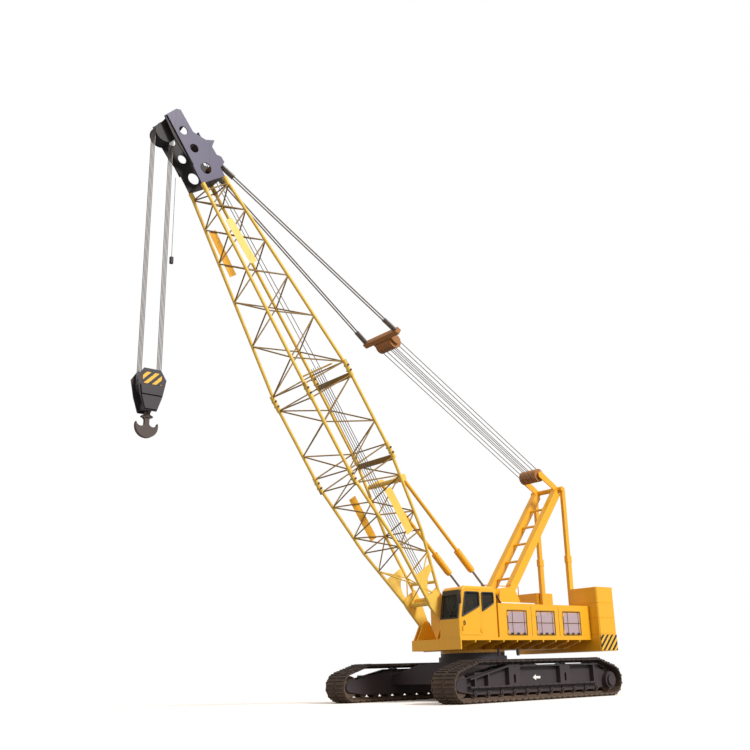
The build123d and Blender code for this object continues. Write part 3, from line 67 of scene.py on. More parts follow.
heading = math.atan2(-CAMERA_PLACE.y, -CAMERA_PLACE.x) + LOOK_ASIDE
ahead = Vector((math.cos(heading) * math.cos(RISE), math.sin(heading) * math.cos(RISE), math.sin(RISE)))
level_right = ahead.cross(Vector((0, 0, 1))).normalized()
level_up = level_right.cross(ahead)
right = level_right * math.cos(ROLL) + level_up * math.sin(ROLL)
up = level_up * math.cos(ROLL) - level_right * math.sin(ROLL)
bpy.ops.object.camera_add(location=CAMERA_PLACE)
camera = bpy.context.object
camera.name = "camera"
camera.rotation_euler = Matrix((right, up, -ahead)).transposed().to_euler()
camera.data.lens = LENS
camera.data.sensor_width = 36
camera.data.shift_x = -0.02613
camera.data.shift_y = 0.00929
camera.data.clip_end = 400
bpy.context.scene.camera = camera
print("camera looks", [round(v, 3) for v in ahead])

# %% [markdown]
# A large soft key lamp stands high on the crane's left, and a pale sky fills the shadows.
# The floor is pale and keeps the shadow near the crane. Far out it fades into the same white as the sky.

# %% Lights, sky and floor
bpy.context.scene.view_settings.view_transform = "Standard"
bpy.ops.object.light_add(type="SUN", rotation=(math.radians(-52), math.radians(-16), 0))
key = bpy.context.object
key.name = "key"
key.data.energy = 2.9
key.data.angle = math.radians(12)
key.data.color = (1, 0.985, 0.96)

sky = bpy.data.worlds.new("sky")
sky.use_nodes = True
bpy.context.scene.world = sky
sky_nodes = sky.node_tree.nodes
sky_back = sky_nodes["Background"]
sky_back.inputs["Strength"].default_value = 0.78
sky_white = sky_nodes.new("ShaderNodeBackground")
sky_white.inputs["Color"].default_value = (1, 1, 1, 1)
sky_back.inputs["Color"].default_value = (1, 0.9, 0.82, 1)
sky_path = sky_nodes.new("ShaderNodeLightPath")
sky_mix = sky_nodes.new("ShaderNodeMixShader")
sky_link = sky.node_tree.links.new
sky_link(sky_path.outputs["Is Camera Ray"], sky_mix.inputs[0])
sky_link(sky_back.outputs[0], sky_mix.inputs[1])
sky_link(sky_white.outputs[0], sky_mix.inputs[2])
sky_link(sky_mix.outputs[0], sky_nodes["World Output"].inputs["Surface"])

bpy.ops.mesh.primitive_circle_add(vertices=96, radius=180, fill_type="NGON", location=(0, 0, -0.004))
floor = bpy.context.object
floor.name = "floor"
ground = bpy.data.materials.new("pale_floor")
ground.use_nodes = True
floor.data.materials.append(ground)
g = ground.node_tree.nodes
g_link = ground.node_tree.links.new
g_path = g.new("ShaderNodeLightPath")
g_tone = g.new("ShaderNodeMapRange")  # the floor looks pale, but throws little light up under the crane
g_tone.inputs["To Min"].default_value = 0.3
g_tone.inputs["To Max"].default_value = 1
g["Principled BSDF"].inputs["Roughness"].default_value = 0.9
g["Principled BSDF"].inputs["Specular IOR Level"].default_value = 0.1
g_place = g.new("ShaderNodeTexCoord")
g_length = g.new("ShaderNodeVectorMath")
g_length.operation = "LENGTH"
g_fade = g.new("ShaderNodeMapRange")
g_fade.inputs["From Min"].default_value = 9
g_fade.inputs["From Max"].default_value = 26
g_white = g.new("ShaderNodeEmission")
g_mix = g.new("ShaderNodeMixShader")
g_link(g_path.outputs["Is Camera Ray"], g_tone.inputs["Value"])
g_link(g_tone.outputs["Result"], g["Principled BSDF"].inputs["Base Color"])
g_link(g_tone.outputs["Result"], g_white.inputs["Strength"])
g_link(g_place.outputs["Object"], g_length.inputs[0])
g_link(g_length.outputs["Value"], g_fade.inputs["Value"])
g_link(g_fade.outputs["Result"], g_mix.inputs[0])
g_link(g["Principled BSDF"].outputs[0], g_mix.inputs[1])
g_link(g_white.outputs[0], g_mix.inputs[2])
g_link(g_mix.outputs[0], g["Material Output"].inputs["Surface"])

# %% [markdown]
# Paint on a working machine isn't one flat colour. Rain leaves faint streaks, dust lies low down and the
# gloss varies. These effects are shared, so each is a node group that every material uses with its own values.

# %% Shared effects
def new_group(name, inputs, outputs):
    """A shader node group with float, colour or vector sockets, given as (name, kind, default)."""
    group = bpy.data.node_groups.new(name, "ShaderNodeTree")
    for label, kind, value in inputs:
        socket = group.interface.new_socket(label, in_out="INPUT", socket_type="NodeSocket" + kind)
        if value is not None:
            socket.default_value = value
    for label, kind in outputs:
        group.interface.new_socket(label, in_out="OUTPUT", socket_type="NodeSocket" + kind)
    return group, group.nodes.new("NodeGroupInput"), group.nodes.new("NodeGroupOutput")


def math_node(group, operation, first, second=None, third=None):
    """Adds a Math node whose operands are sockets or numbers, and returns its output."""
    node = group.nodes.new("ShaderNodeMath")
    node.operation = operation
    for socket, value in zip(node.inputs, (first, second, third)):
        if isinstance(value, (int, float)):
            socket.default_value = value
        elif value is not None:
            group.links.new(value, socket)
    return node.outputs[0]


def noise_node(group, vector, scale, detail=3, roughness=0.55):
    """Adds a Noise texture on a vector and returns its value."""
    node = group.nodes.new("ShaderNodeTexNoise")
    node.inputs["Detail"].default_value = detail
    node.inputs["Roughness"].default_value = roughness
    group.links.new(vector, node.inputs["Vector"])
    if isinstance(scale, (int, float)):
        node.inputs["Scale"].default_value = scale
    else:
        group.links.new(scale, node.inputs["Scale"])
    return node.outputs["Fac"]


def mix_colour(group, factor, first, second):
    """Adds a colour Mix node whose operands are sockets or colours, and returns its colour."""
    node = group.nodes.new("ShaderNodeMix")
    node.data_type = "RGBA"
    for socket, value in ((node.inputs[0], factor), (node.inputs[6], first), (node.inputs[7], second)):
        if isinstance(value, (int, float)):
            socket.default_value = value
        elif isinstance(value, tuple):
            socket.default_value = (*value, 1)
        else:
            group.links.new(value, socket)
    return node.outputs[2]


weather, w_in, w_out = new_group(
    "weather",
    [("Place", "Vector", None), ("Colour", "Color", (0.8, 0.4, 0.02, 1)), ("Dirt", "Color", (0.2, 0.12, 0.06, 1)),
     ("Streaks", "Float", 0.3), ("Dust below", "Float", 0.0), ("Roughness", "Float", 0.4)],
    [("Colour", "Color"), ("Roughness", "Float"), ("Height", "Float")],
)
w_stretch = weather.nodes.new("ShaderNodeMapping")
w_stretch.inputs["Scale"].default_value = (5.5, 5.5, 0.5)
weather.links.new(w_in.outputs["Place"], w_stretch.inputs["Vector"])
w_streak = noise_node(weather, w_stretch.outputs["Vector"], 1.6, 4)
w_patch = noise_node(weather, w_in.outputs["Place"], 0.9, 3)
w_grain = noise_node(weather, w_in.outputs["Place"], 26, 2)
w_mask = math_node(weather, "MULTIPLY_ADD", w_streak, 3.2, -1.75)
w_mask = math_node(weather, "MAXIMUM", math_node(weather, "MINIMUM", w_mask, 1), 0)
w_mask = math_node(weather, "MULTIPLY", w_mask, w_patch)
w_mask = math_node(weather, "MULTIPLY", w_mask, w_in.outputs["Streaks"])
w_split = weather.nodes.new("ShaderNodeSeparateXYZ")
weather.links.new(w_in.outputs["Place"], w_split.inputs[0])
w_low = math_node(weather, "SUBTRACT", 1, math_node(weather, "MULTIPLY", w_split.outputs["Z"], 0.75))
w_low = math_node(weather, "MAXIMUM", w_low, 0)
w_low = math_node(weather, "MULTIPLY", w_low, math_node(weather, "ADD", w_patch, 0.35))
w_mask = math_node(weather, "MULTIPLY_ADD", w_low, w_in.outputs["Dust below"], w_mask)
w_mask = math_node(weather, "MINIMUM", w_mask, 1)
w_colour = mix_colour(weather, w_mask, w_in.outputs["Colour"], w_in.outputs["Dirt"])
weather.links.new(w_colour, w_out.inputs["Colour"])
w_rough = math_node(weather, "SUBTRACT", w_in.outputs["Roughness"], 0.08)
w_rough = math_node(weather, "MULTIPLY_ADD", w_patch, 0.16, w_rough)
weather.links.new(math_node(weather, "MULTIPLY_ADD", w_mask, 0.35, w_rough), w_out.inputs["Roughness"])
weather.links.new(math_node(weather, "MULTIPLY_ADD", w_grain, 0.3, w_mask), w_out.inputs["Height"])


def finish(name, colour, dirt=(0.2, 0.12, 0.06), streaks=0.3, dust=0.0, rough=0.4, metal=0.0, bump=0.1, coat=0.0):
    """A weathered paint or metal, read from the piece's own coordinates."""
    material = bpy.data.materials.new(name)
    material.use_nodes = True
    tree = material.node_tree
    shader = tree.nodes["Principled BSDF"]
    place = tree.nodes.new("ShaderNodeTexCoord")
    effect = tree.nodes.new("ShaderNodeGroup")
    effect.node_tree = weather
    effect.inputs["Colour"].default_value = (*colour, 1)
    effect.inputs["Dirt"].default_value = (*dirt, 1)
    effect.inputs["Streaks"].default_value = streaks
    effect.inputs["Dust below"].default_value = dust
    effect.inputs["Roughness"].default_value = rough
    relief = tree.nodes.new("ShaderNodeBump")
    relief.inputs["Strength"].default_value = bump
    relief.inputs["Distance"].default_value = 0.004
    tree.links.new(place.outputs["Object"], effect.inputs["Place"])
    tree.links.new(effect.outputs["Colour"], shader.inputs["Base Color"])
    tree.links.new(effect.outputs["Roughness"], shader.inputs["Roughness"])
    tree.links.new(effect.outputs["Height"], relief.inputs["Height"])
    tree.links.new(relief.outputs["Normal"], shader.inputs["Normal"])
    shader.inputs["Metallic"].default_value = metal
    shader.inputs["Coat Weight"].default_value = coat
    return material


# %% Finishes
yellow = finish("machine_yellow", (0.86, 0.43, 0.014), dirt=(0.42, 0.2, 0.03), streaks=0.35, rough=0.38,
                coat=0.15)
# Painted highlight: the boom's yellow is paler than the machine's, for the brighter light on the boom.
boom_highlight_yellow = finish("boom_highlight_yellow", (0.86, 0.56, 0.09), dirt=(0.3, 0.17, 0.04), streaks=0.6, rough=0.45)
dark = finish("frame_black", (0.028, 0.022, 0.030), dirt=(0.10, 0.07, 0.06), streaks=0.2, dust=0.35, rough=0.5)
tread_steel = finish("tread_steel", (0.035, 0.028, 0.028), dirt=(0.26, 0.17, 0.11), streaks=0.7, dust=0.5,
                     rough=0.62, metal=0.3, bump=0.5)
head_blue = finish("head_blue_grey", (0.06, 0.05, 0.115), dirt=(0.03, 0.025, 0.03), streaks=0.4, rough=0.42)
brown = finish("sheave_brown", (0.36, 0.15, 0.04), dirt=(0.08, 0.04, 0.02), streaks=0.7, rough=0.6)
wire = finish("wire_rope", (0.23, 0.21, 0.2), dirt=(0.1, 0.09, 0.08), streaks=0.6, rough=0.55, metal=0.6, bump=0.6)
iron = finish("forged_iron", (0.08, 0.06, 0.055), dirt=(0.2, 0.1, 0.05), streaks=0.5, rough=0.6, metal=0.3,
              bump=0.4)
engine_grey = finish("engine_grey", (0.14, 0.14, 0.15), rough=0.5, metal=0.4)
plastic = finish("black_plastic", (0.03, 0.03, 0.033), rough=0.55)
fabric = finish("seat_cloth", (0.035, 0.035, 0.04), rough=0.9, bump=0.6)
lilac = finish("grille_lilac", (0.62, 0.52, 0.60), dirt=(0.3, 0.2, 0.2), streaks=0.3, rough=0.5)
white = finish("white_paint", (0.85, 0.85, 0.85), streaks=0.2, rough=0.4)
red = finish("red_paint", (0.6, 0.05, 0.02), streaks=0.3, rough=0.45)
# Painted shade: the boom's lacing is given a dull dark brown for the shade it stands in.
lacing_painted_shade = finish("lacing_painted_shade", (0.26, 0.15, 0.03), dirt=(0.08, 0.05, 0.02), streaks=0.5, rough=0.5)
# Painted shade: black for the shade inside and under the boom's head, and on its sheaves.
painted_shade_black = finish("painted_shade_black", (0.018, 0.014, 0.018), streaks=0.2, rough=0.6)
seam = finish("seam_shadow", (0.22, 0.11, 0.02), streaks=0.1, rough=0.6)

glass = bpy.data.materials.new("tinted_glass")
glass.use_nodes = True
glass_shader = glass.node_tree.nodes["Principled BSDF"]
glass_shader.inputs["Base Color"].default_value = (0.16, 0.17, 0.16, 1)
glass_shader.inputs["Roughness"].default_value = 0.05
glass_shader.inputs["Transmission Weight"].default_value = 0.85
glass_shader.inputs["IOR"].default_value = 1.1

BY_SLOT = {
    "yellow_paint": yellow, "dark_paint": dark, "track_steel": tread_steel, "glass": glass,
    "seat_fabric": fabric, "console_plastic": plastic, "engine_iron": engine_grey, "brown_paint": brown,
    "head_paint": head_blue, "rope_steel": wire, "hook_iron": iron,
}
# The boom's pieces take the paler yellow, a painted highlight for the brighter light on the boom.
BOOM_NODES = ("boom_base", "boom_insert", "boom_top", "boom_boards", "backstop_beam")
for part in frame["record"]["subparts"]:
    own = nodes[part["node"]].data.materials
    own.clear()
    own.append(boom_highlight_yellow if part["node"] in BOOM_NODES else BY_SLOT[part["material_slot"]])

# %% [markdown]
# New pieces start as a primitive at its size and place. A few short helpers keep the steps alike: start a piece,
# round its edges, run a pipe through points, and settle the finished piece on the body that carries it.


def start(add, **how):
    """Adds a primitive with nothing else selected and returns it."""
    bpy.ops.object.select_all(action="DESELECT")
    add(**how)
    return bpy.context.object


def soften(piece, width, steps=1):
    """Bevels every edge of a piece in edit mode, with only that piece selected."""
    bpy.ops.object.select_all(action="DESELECT")
    piece.select_set(True)
    bpy.context.view_layer.objects.active = piece
    bpy.ops.object.mode_set(mode="EDIT")
    bpy.ops.mesh.select_all(action="SELECT")
    bpy.ops.mesh.bevel(offset=width, segments=steps, affect="EDGES")
    bpy.ops.object.mode_set(mode="OBJECT")
    return piece


def block(size, place, bevel=0.01, turn=(0, 0, 0), steps=1):
    """A block with bevelled edges."""
    piece = start(bpy.ops.mesh.primitive_cube_add, size=1, location=place, rotation=turn, scale=size)
    bpy.ops.object.transform_apply(location=False, rotation=False, scale=True)
    return soften(piece, bevel, steps) if bevel else piece


def rod(low, high, radius, sides=12):
    """A round bar between two points."""
    low, high = Vector(low), Vector(high)
    turn = (high - low).to_track_quat("Z", "Y").to_euler()
    piece = start(bpy.ops.mesh.primitive_cylinder_add, vertices=sides, radius=radius, depth=(high - low).length,
                  location=(low + high) / 2, rotation=turn)
    return piece


def pipe(points, radius, closed=False, kind="POLY", sides=2):
    """A tube along points: a path with a round section, turned to a mesh."""
    path = start(bpy.ops.curve.primitive_nurbs_path_add)
    path.data.splines.clear()
    line = path.data.splines.new(kind)
    line.points.add(len(points) - 1)
    for point, place in zip(line.points, points):
        point.co = (*place, 1)
    line.use_cyclic_u = closed
    if kind == "NURBS":
        line.order_u = 3
        line.use_endpoint_u = not closed
    path.data.bevel_depth = radius
    path.data.bevel_resolution = sides
    path.data.use_fill_caps = not closed
    bpy.ops.object.convert(target="MESH")
    return bpy.context.object


def copy_of(piece, matrix):
    """A copy with its own mesh, moved by a matrix."""
    bpy.ops.object.select_all(action="DESELECT")
    piece.select_set(True)
    bpy.context.view_layer.objects.active = piece
    bpy.ops.object.duplicate()
    made = bpy.context.object
    made.matrix_world = matrix @ piece.matrix_world
    return made


def join(pieces):
    """Joins pieces into one and applies its place."""
    bpy.ops.object.select_all(action="DESELECT")
    for piece in pieces:
        piece.select_set(True)
    bpy.context.view_layer.objects.active = pieces[0]
    if len(pieces) > 1:
        bpy.ops.object.join()
    bpy.ops.object.transform_apply(location=True, rotation=True, scale=True)
    return bpy.context.object


def settle(name, pieces, material, body, angle=35):
    """Joins pieces into one, and gives it a finish and the body it rides on."""
    made = join(pieces)
    made.name = made.data.name = name
    made.data.materials.clear()
    made.data.materials.append(material)
    bpy.ops.object.shade_smooth_by_angle(angle=math.radians(angle))
    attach(made, body)
    print(name, len(made.data.polygons), "faces")
    return made


# %% [markdown]
# The tracks are what this crane stands on. Each shoe is a plate with two rows of cleats and three lugs outside,
# and a pair of link rails inside. One shoe is modelled, then copied round the belt, which is the hull of four
# circles: the two wheels and the ends of the top run.

# %% Track shoes
SHOES = 64
SHOE_GAP = 0.024
SHOE_LIFT = 0.004  # keeps the lowest cleats on the floor
track_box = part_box("track_left")
track_middle = (track_box[0][1] + track_box[1][1]) / 2
track_top = track_box[1][2]
WHEEL_X, WHEEL_RADIUS, TOP_X, TOP_RADIUS = 3.38, 0.5, 2.7, 0.4
circles = [(side * WHEEL_X, WHEEL_RADIUS, WHEEL_RADIUS) for side in (-1, 1)]
circles += [(side * TOP_X, track_top - TOP_RADIUS, TOP_RADIUS) for side in (-1, 1)]
rim = [(x + r * math.cos(a), z + r * math.sin(a)) for x, z, r in circles
       for a in (math.tau * n / 180 for n in range(180))]


def hull(points):
    """The points of the convex outline, in order."""
    points = sorted(points)
    chains = []
    for run in (points, points[::-1]):
        chain = []
        for p in run:
            while len(chain) > 1 and ((chain[-1][0] - chain[-2][0]) * (p[1] - chain[-2][1])
                                      - (chain[-1][1] - chain[-2][1]) * (p[0] - chain[-2][0])) <= 0:
                chain.pop()
            chain.append(p)
        chains += chain[:-1]
    return [Vector((x, 0, z)) for x, z in chains]


belt = hull(rim)
lengths = [(b - a).length for a, b in zip(belt, belt[1:] + belt[:1])]
pitch = sum(lengths) / SHOES


def on_belt(distance):
    """The point of the belt at a distance along it."""
    distance %= sum(lengths)
    for a, b, length in zip(belt, belt[1:] + belt[:1], lengths):
        if distance <= length:
            return a.lerp(b, distance / length)
        distance -= length
    return belt[0].copy()


shoe_parts = [block((pitch - SHOE_GAP, 1.01, 0.05), (0, 0, -0.062), 0.008)]
shoe_parts += [block((0.05, 0.43, 0.045), (x, y, -0.0215), 0.012) for x in (-0.065, 0.065) for y in (-0.26, 0.26)]
shoe_parts += [block((pitch * 1.02, 0.07, 0.075), (0, y, -0.115), 0.01) for y in (-0.13, 0.13)]
shoe_parts += [block((0.07, 0.05, 0.03), (0, y, -0.026), 0.006) for y in (-0.49, 0, 0.49)]
shoe = join(shoe_parts)
shoes = []
for n in range(SHOES):
    here, ahead_of, behind = (on_belt((n + 0.5 + step) * pitch) for step in (0, 0.45, -0.45))
    run = (behind - ahead_of).normalized()  # against the belt's order, which turns the cleats outward
    lean = Matrix((run, (0, 1, 0), run.cross(Vector((0, 1, 0))))).transposed().to_4x4()
    shoes.append(copy_of(shoe, Matrix.Translation(here + Vector((0, track_middle, SHOE_LIFT))) @ lean))
bpy.data.objects.remove(shoe)
left_track = settle("shoes_left", shoes, tread_steel, "undercarriage")
right_track = copy_of(left_track, Matrix.Translation((0, -2 * track_middle, 0)))
right_track = settle("shoes_right", [right_track], tread_steel, "undercarriage")
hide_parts("track_left")
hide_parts("track_right")

# %% [markdown]
# The long side frames carry a few fittings: bolt rows along the left flange, round covers over the roller
# shafts, and a white arrow that shows which way the crane travels.

# %% Side frame fittings
frame_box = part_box("track_frame_left")
face_y = frame_box[1][1]
web_y = track_middle + 0.245
ROLLER_Z = 0.29
roller_places = [(n - 5) * 0.56 for n in range(11)]


def web_rods(out, radius, sides):
    """A rod on the web in front of each roller's shaft."""
    return [rod((x, web_y - 0.01, ROLLER_Z), (x, web_y + out, ROLLER_Z), radius, sides) for x in roller_places]


covers = web_rods(0.035, 0.085, 20) + web_rods(0.06, 0.035, 8)
for cover in covers:
    soften(cover, 0.006)
left_covers = settle("roller_covers_left", covers, dark, "undercarriage")
settle("roller_covers_right", [copy_of(left_covers, Matrix.Scale(-1, 4, (0, 1, 0)))], dark, "undercarriage")
bolts = []
for first, step, count, z in ((-2.65, 0.32, 13, 0.985 + 0.03), (-2.6, 0.3, 19, 0.45)):
    bolts += [rod((first + step * n, face_y, z), (first + step * n, face_y + 0.02, z), 0.016, 6)
              for n in range(count)]
settle("frame_bolts_left", bolts, dark, "undercarriage")

# A white arrow on the middle panel points the way the crane travels.
arrow_at = Vector((0.1, web_y + 0.012, 0.66))
arrow_shaft = block((0.2, 0.012, 0.07), arrow_at + Vector((-0.06, 0, 0)), 0.002)
arrow_tip = start(bpy.ops.mesh.primitive_cylinder_add, vertices=3, radius=0.1, depth=0.012,
                  location=arrow_at + Vector((0.09, 0, 0)), rotation=(math.pi / 2, math.pi / 2, 0))
settle("travel_arrow", [arrow_shaft, arrow_tip], white, "undercarriage")

# %% [markdown]
# A circle of bolts holds the slewing ring, and two short dark posts hang under the left deck.

# %% Slewing ring bolts and deck posts
RING_BOLTS = 48
RING_RADIUS = 1.03
ring_bolts = []
for n in range(RING_BOLTS):
    a = math.tau * n / RING_BOLTS
    x, y = RING_RADIUS * math.cos(a), RING_RADIUS * math.sin(a)
    ring_bolts.append(rod((x, y, 1.335), (x, y, 1.385), 0.02, 6))
settle("ring_bolts", ring_bolts, dark, "undercarriage")
deck_posts = [rod((x, 1.62, 1.5 - 0.16), (x, 1.62, 1.5 + 0.06), 0.05, 14) for x in (0.4, -0.5)]
settle("deck_feet", deck_posts, dark, "upper")

# %% [markdown]
# The cab's glass sits in black rubber. Each seal follows its window's outline, a little proud of the panel.

# %% Cab trim
SEAL_Y = 1.654 + 0.004
SEAL_RADIUS = 0.026


def seal(name, corners, body):
    """A closed rubber seal along the corners of a window."""
    points = rounded(corners, SEAL_Y)
    return settle(name, [pipe(points, SEAL_RADIUS, closed=True, kind="NURBS")], plastic, body)


def rounded(corners, y, reach=0.07):
    """Points that follow a window's outline and cut its corners."""
    made = []
    for n, (x, z) in enumerate(corners):
        here = Vector((x, z))
        for other in (corners[n - 1], corners[(n + 1) % len(corners)]):
            step = (Vector(other) - here).normalized()
            made.append(here + step * reach)
            if other is corners[n - 1]:
                made.append(here + step * reach * 0.12)
    return [(x, y, z) for x, z in made]


door_window = [(1.22, 2.89), (1.99, 2.56), (1.83, 3.32), (1.22, 3.32)]
rear_window = [(0.56, 2.99), (1.085, 2.73), (1.085, 3.32), (0.56, 3.32)]
seal("door_seal", door_window, "cab_door")
seal("rear_window_seal", rear_window, "upper")
brow = Vector((1.93, 0, 3.5))
sill = Vector((2.12, 0, 2.44))
slope = (sill - brow).normalized()


def on_screen(drop, y, out=0.0):
    """A point of the sloped windscreen, at a drop from the brow."""
    return brow + slope * drop + Vector((-slope.z, 0, slope.x)) * out + Vector((0, y, 0))


SCREEN_TOP, SCREEN_LOW = 0.16, 1.0  # distances down the glass
SCREEN_RIGHT, SCREEN_LEFT = 0.79, 1.585
screen_corners = ((SCREEN_TOP, SCREEN_RIGHT), (SCREEN_LOW, SCREEN_RIGHT), (SCREEN_LOW, SCREEN_LEFT),
                  (SCREEN_TOP, SCREEN_LEFT))
screen_frame = pipe([on_screen(*corner, 0.012) for corner in screen_corners], 0.03, closed=True)
wiper = [pipe([on_screen(0.98, 1.2, 0.05), on_screen(0.45, 1.42, 0.03)], 0.012),
         pipe([on_screen(0.75, 1.33, 0.02), on_screen(0.22, 1.5, 0.02)], 0.010)]
visor = block((0.02, 0.78, 0.16), on_screen(0.2, 1.19, 0.05), 0.006, (0, -math.atan2(0.19, 1.06), 0))
settle("screen_frame", [screen_frame, visor, *wiper], plastic, "upper")
handle = pipe([(1.93, 1.68, 2.3), (1.93, 1.71, 2.32), (1.93, 1.71, 2.4), (1.93, 1.68, 2.42)], 0.02)
settle("door_handle", [handle], plastic, "cab_door")
mirror = [pipe([(2.02, 1.64, 3.3), (2.2, 1.78, 3.36), (2.24, 1.8, 3.2)], 0.012),
          block((0.04, 0.16, 0.3), (2.25, 1.82, 3.08), 0.012, steps=2)]
settle("cab_mirror", mirror, plastic, "upper")
roof_seam = [block((1.3, 0.012, 0.014), (1.12, y, 3.505), 0.004) for y in (0.95, 1.42)]
roof_seam.append(pipe([(0.46, 1.6, 3.5), (1.86, 1.6, 3.5)], 0.018))
settle("cab_roof_ribs", roof_seam, yellow, "upper")

# %% [markdown]
# The three hatches carry pale slatted grilles. The slats lean like louvres, and dark bars frame and cross them.
# Three dark latches sit at the foot of each grille.

# %% Grilles
HATCHES = ((-0.045, "hatch_1"), (-1.465, "hatch_2"), (-2.835, "hatch_3"))  # each hatch's front edge and its body
HATCH_WIDTH = 0.96
HATCH_MIDDLE = 2.39
BAR_Y = 1.659
SLATS = 25
SLAT_PITCH = 0.028
for front, body in HATCHES:
    middle = front - HATCH_WIDTH / 2
    slats = [block((0.85, 0.016, 0.02), (middle, 1.644, 2.05 + SLAT_PITCH * n), 0.003, (math.radians(-25), 0, 0))
             for n in range(SLATS)]
    settle(f"slats_{body}", slats, lilac, body)
    bars = [block((0.9, 0.012, 0.026), (middle, BAR_Y, z), 0.003) for z in (2.0, 2.775)]
    bars += [block((0.026, 0.012, 0.78), (middle + side * 0.46, BAR_Y, HATCH_MIDDLE), 0.003) for side in (-1, 1)]
    bars += [block((0.016, 0.012, 0.76), (front - HATCH_WIDTH * share, BAR_Y, HATCH_MIDDLE), 0.003)
             for share in (0.27, 0.86)]
    bars += [block((0.87, 0.012, 0.016), (middle, BAR_Y, HATCH_MIDDLE), 0.003)]
    latches = [block((0.12, 0.03, 0.05), (middle + shift, 1.667, 2.045), 0.01) for shift in (-0.32, -0.02, 0.26)]
    settle(f"frame_{body}", bars + latches, plastic, body)
house_lines = [block((0.012, 0.008, 0.98), (x, 1.657, 2.45), 0.002) for x in (-1.235, -2.63)]
settle("house_seams", house_lines, seam, "upper")

# %% [markdown]
# Warning stripes are painted on the counterweight's base ends and on the hook block's cheeks.
# Thin plates carry them, with slanted bands read from the plate's own coordinates.

# %% Warning stripes
stripe = bpy.data.materials.new("warning_stripes")
stripe.use_nodes = True
s_tree = stripe.node_tree
s_place = s_tree.nodes.new("ShaderNodeTexCoord")
s_split = s_tree.nodes.new("ShaderNodeSeparateXYZ")
s_tree.links.new(s_place.outputs["Object"], s_split.inputs[0])
s_sum = math_node(s_tree, "ADD", s_split.outputs["X"], s_split.outputs["Z"])
STRIPE_STEP = 0.125  # half of a black and yellow pair, along X plus Z
s_band = math_node(s_tree, "PINGPONG", s_sum, STRIPE_STEP)
s_mask = math_node(s_tree, "GREATER_THAN", s_band, STRIPE_STEP / 2)
s_colour = mix_colour(s_tree, s_mask, (0.02, 0.018, 0.02), (0.85, 0.48, 0.03))
s_tree.links.new(s_colour, s_tree.nodes["Principled BSDF"].inputs["Base Color"])
s_tree.nodes["Principled BSDF"].inputs["Roughness"].default_value = 0.45
base_stripes = [block((0.9, 0.008, 0.54), (-4.795, side * 2.056, 1.725), 0.002) for side in (-1, 1)]
settle("base_stripes", base_stripes, stripe, "upper")
hook_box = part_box("hook_block")
hook_x = (hook_box[0][0] + hook_box[1][0]) / 2
cheek_face = max(abs(v.co.y) for v in nodes["hook_block"].data.vertices if v.co.z > 8.8)
cheek_stripes = [block((0.56, 0.008, 0.34), (hook_x, side * (cheek_face + 0.003), 8.95), 0.003)
                 for side in (-1, 1)]
settle("cheek_stripes", cheek_stripes, stripe, "hoist")
red_cap = [block((0.36, 0.3, 0.05), (hook_x, 0, 9.235), 0.015, steps=2)]
settle("block_cap", red_cap, red, "hoist")

# %% [markdown]
# The hoist ropes run along the boom to its head. Points on the boom are given by their distance from its foot
# pin, their height above its centre line and their place across it.

# %% Boom ropes
BOOM_LEAN = math.radians(56.15)
FOOT_PIN = Vector((1.62, 0, 2.36))
BASE_END, INSERT_END = 5.93, 8.93  # where the boom's sections meet, along it
ROPE_FOOT, ROPE_MIDDLE, ROPE_HEAD = (1.4, 0.4), (9.4, 0.5), (17.2, 0.36)  # along the boom, and above its axis
ROPE_RADIUS = 0.012
boom_run = Vector((math.cos(BOOM_LEAN), 0, math.sin(BOOM_LEAN)))
boom_rise = Vector((-math.sin(BOOM_LEAN), 0, math.cos(BOOM_LEAN)))


def on_boom(along, height, y):
    """A point of the boom."""
    return FOOT_PIN + boom_run * along + boom_rise * height + Vector((0, y, 0))


ropes = [pipe([on_boom(*ROPE_FOOT, y), on_boom(*ROPE_MIDDLE, y)], ROPE_RADIUS, sides=1)
         for y in (-0.25, -0.14, 0.09)]
ropes += [pipe([on_boom(*ROPE_FOOT, y), on_boom(*ROPE_MIDDLE, y), on_boom(*ROPE_HEAD, y * 0.5)], ROPE_RADIUS,
               sides=1) for y in (-0.03, 0.2)]
settle("boom_ropes", ropes, wire, "boom")
sheave = [rod(on_boom(17.3, 0.35, -0.2), on_boom(17.3, 0.35, 0.2), 0.14, 20)]
settle("rope_sheave", sheave, iron, "boom")
guides = [rod(on_boom(9.3, 0.44, -0.9), on_boom(9.3, 0.44, 0.9), 0.028, 12),
          rod(on_boom(1.4, 0.34, -0.6), on_boom(1.4, 0.34, 0.6), 0.05, 12)]
settle("rope_bars", guides, boom_highlight_yellow, "boom")
half_pin = Vector((0, 0.115, 0))
pins = []
for along in (BASE_END, INSERT_END):
    for height in (-0.93, 0.93):
        for side in (-1, 1):
            for shift in (-0.09, 0.09):
                place = on_boom(along + shift, height, side * 0.918)
                pins.append(rod(place - half_pin, place + half_pin, 0.03, 10))
settle("joint_pins", pins, dark, "boom")
line_top, weight_top, weight_foot = (11.65, 0, 15.57), (11.65, 0, 12.9), (11.65, 0, 12.7)
limit_line = [pipe([line_top, weight_top], 0.008, sides=1), rod(weight_top, weight_foot, 0.06, 12)]
settle("hoist_limit_weight", limit_line, dark, "hoist")

# %% [markdown]
# Each drum is wound with rope. Rings side by side stand for the wraps of the outer layer.

# %% Drum wraps
WRAPS = 21
WRAP_PITCH = 0.04
FIRST_WRAP_Y = -0.4


def ring(place, radius, thickness, turn, segments):
    """A wrap of rope or a coil of a spring."""
    return start(bpy.ops.mesh.primitive_torus_add, major_segments=segments, minor_segments=6, major_radius=radius,
                 minor_radius=thickness, location=place, rotation=turn)


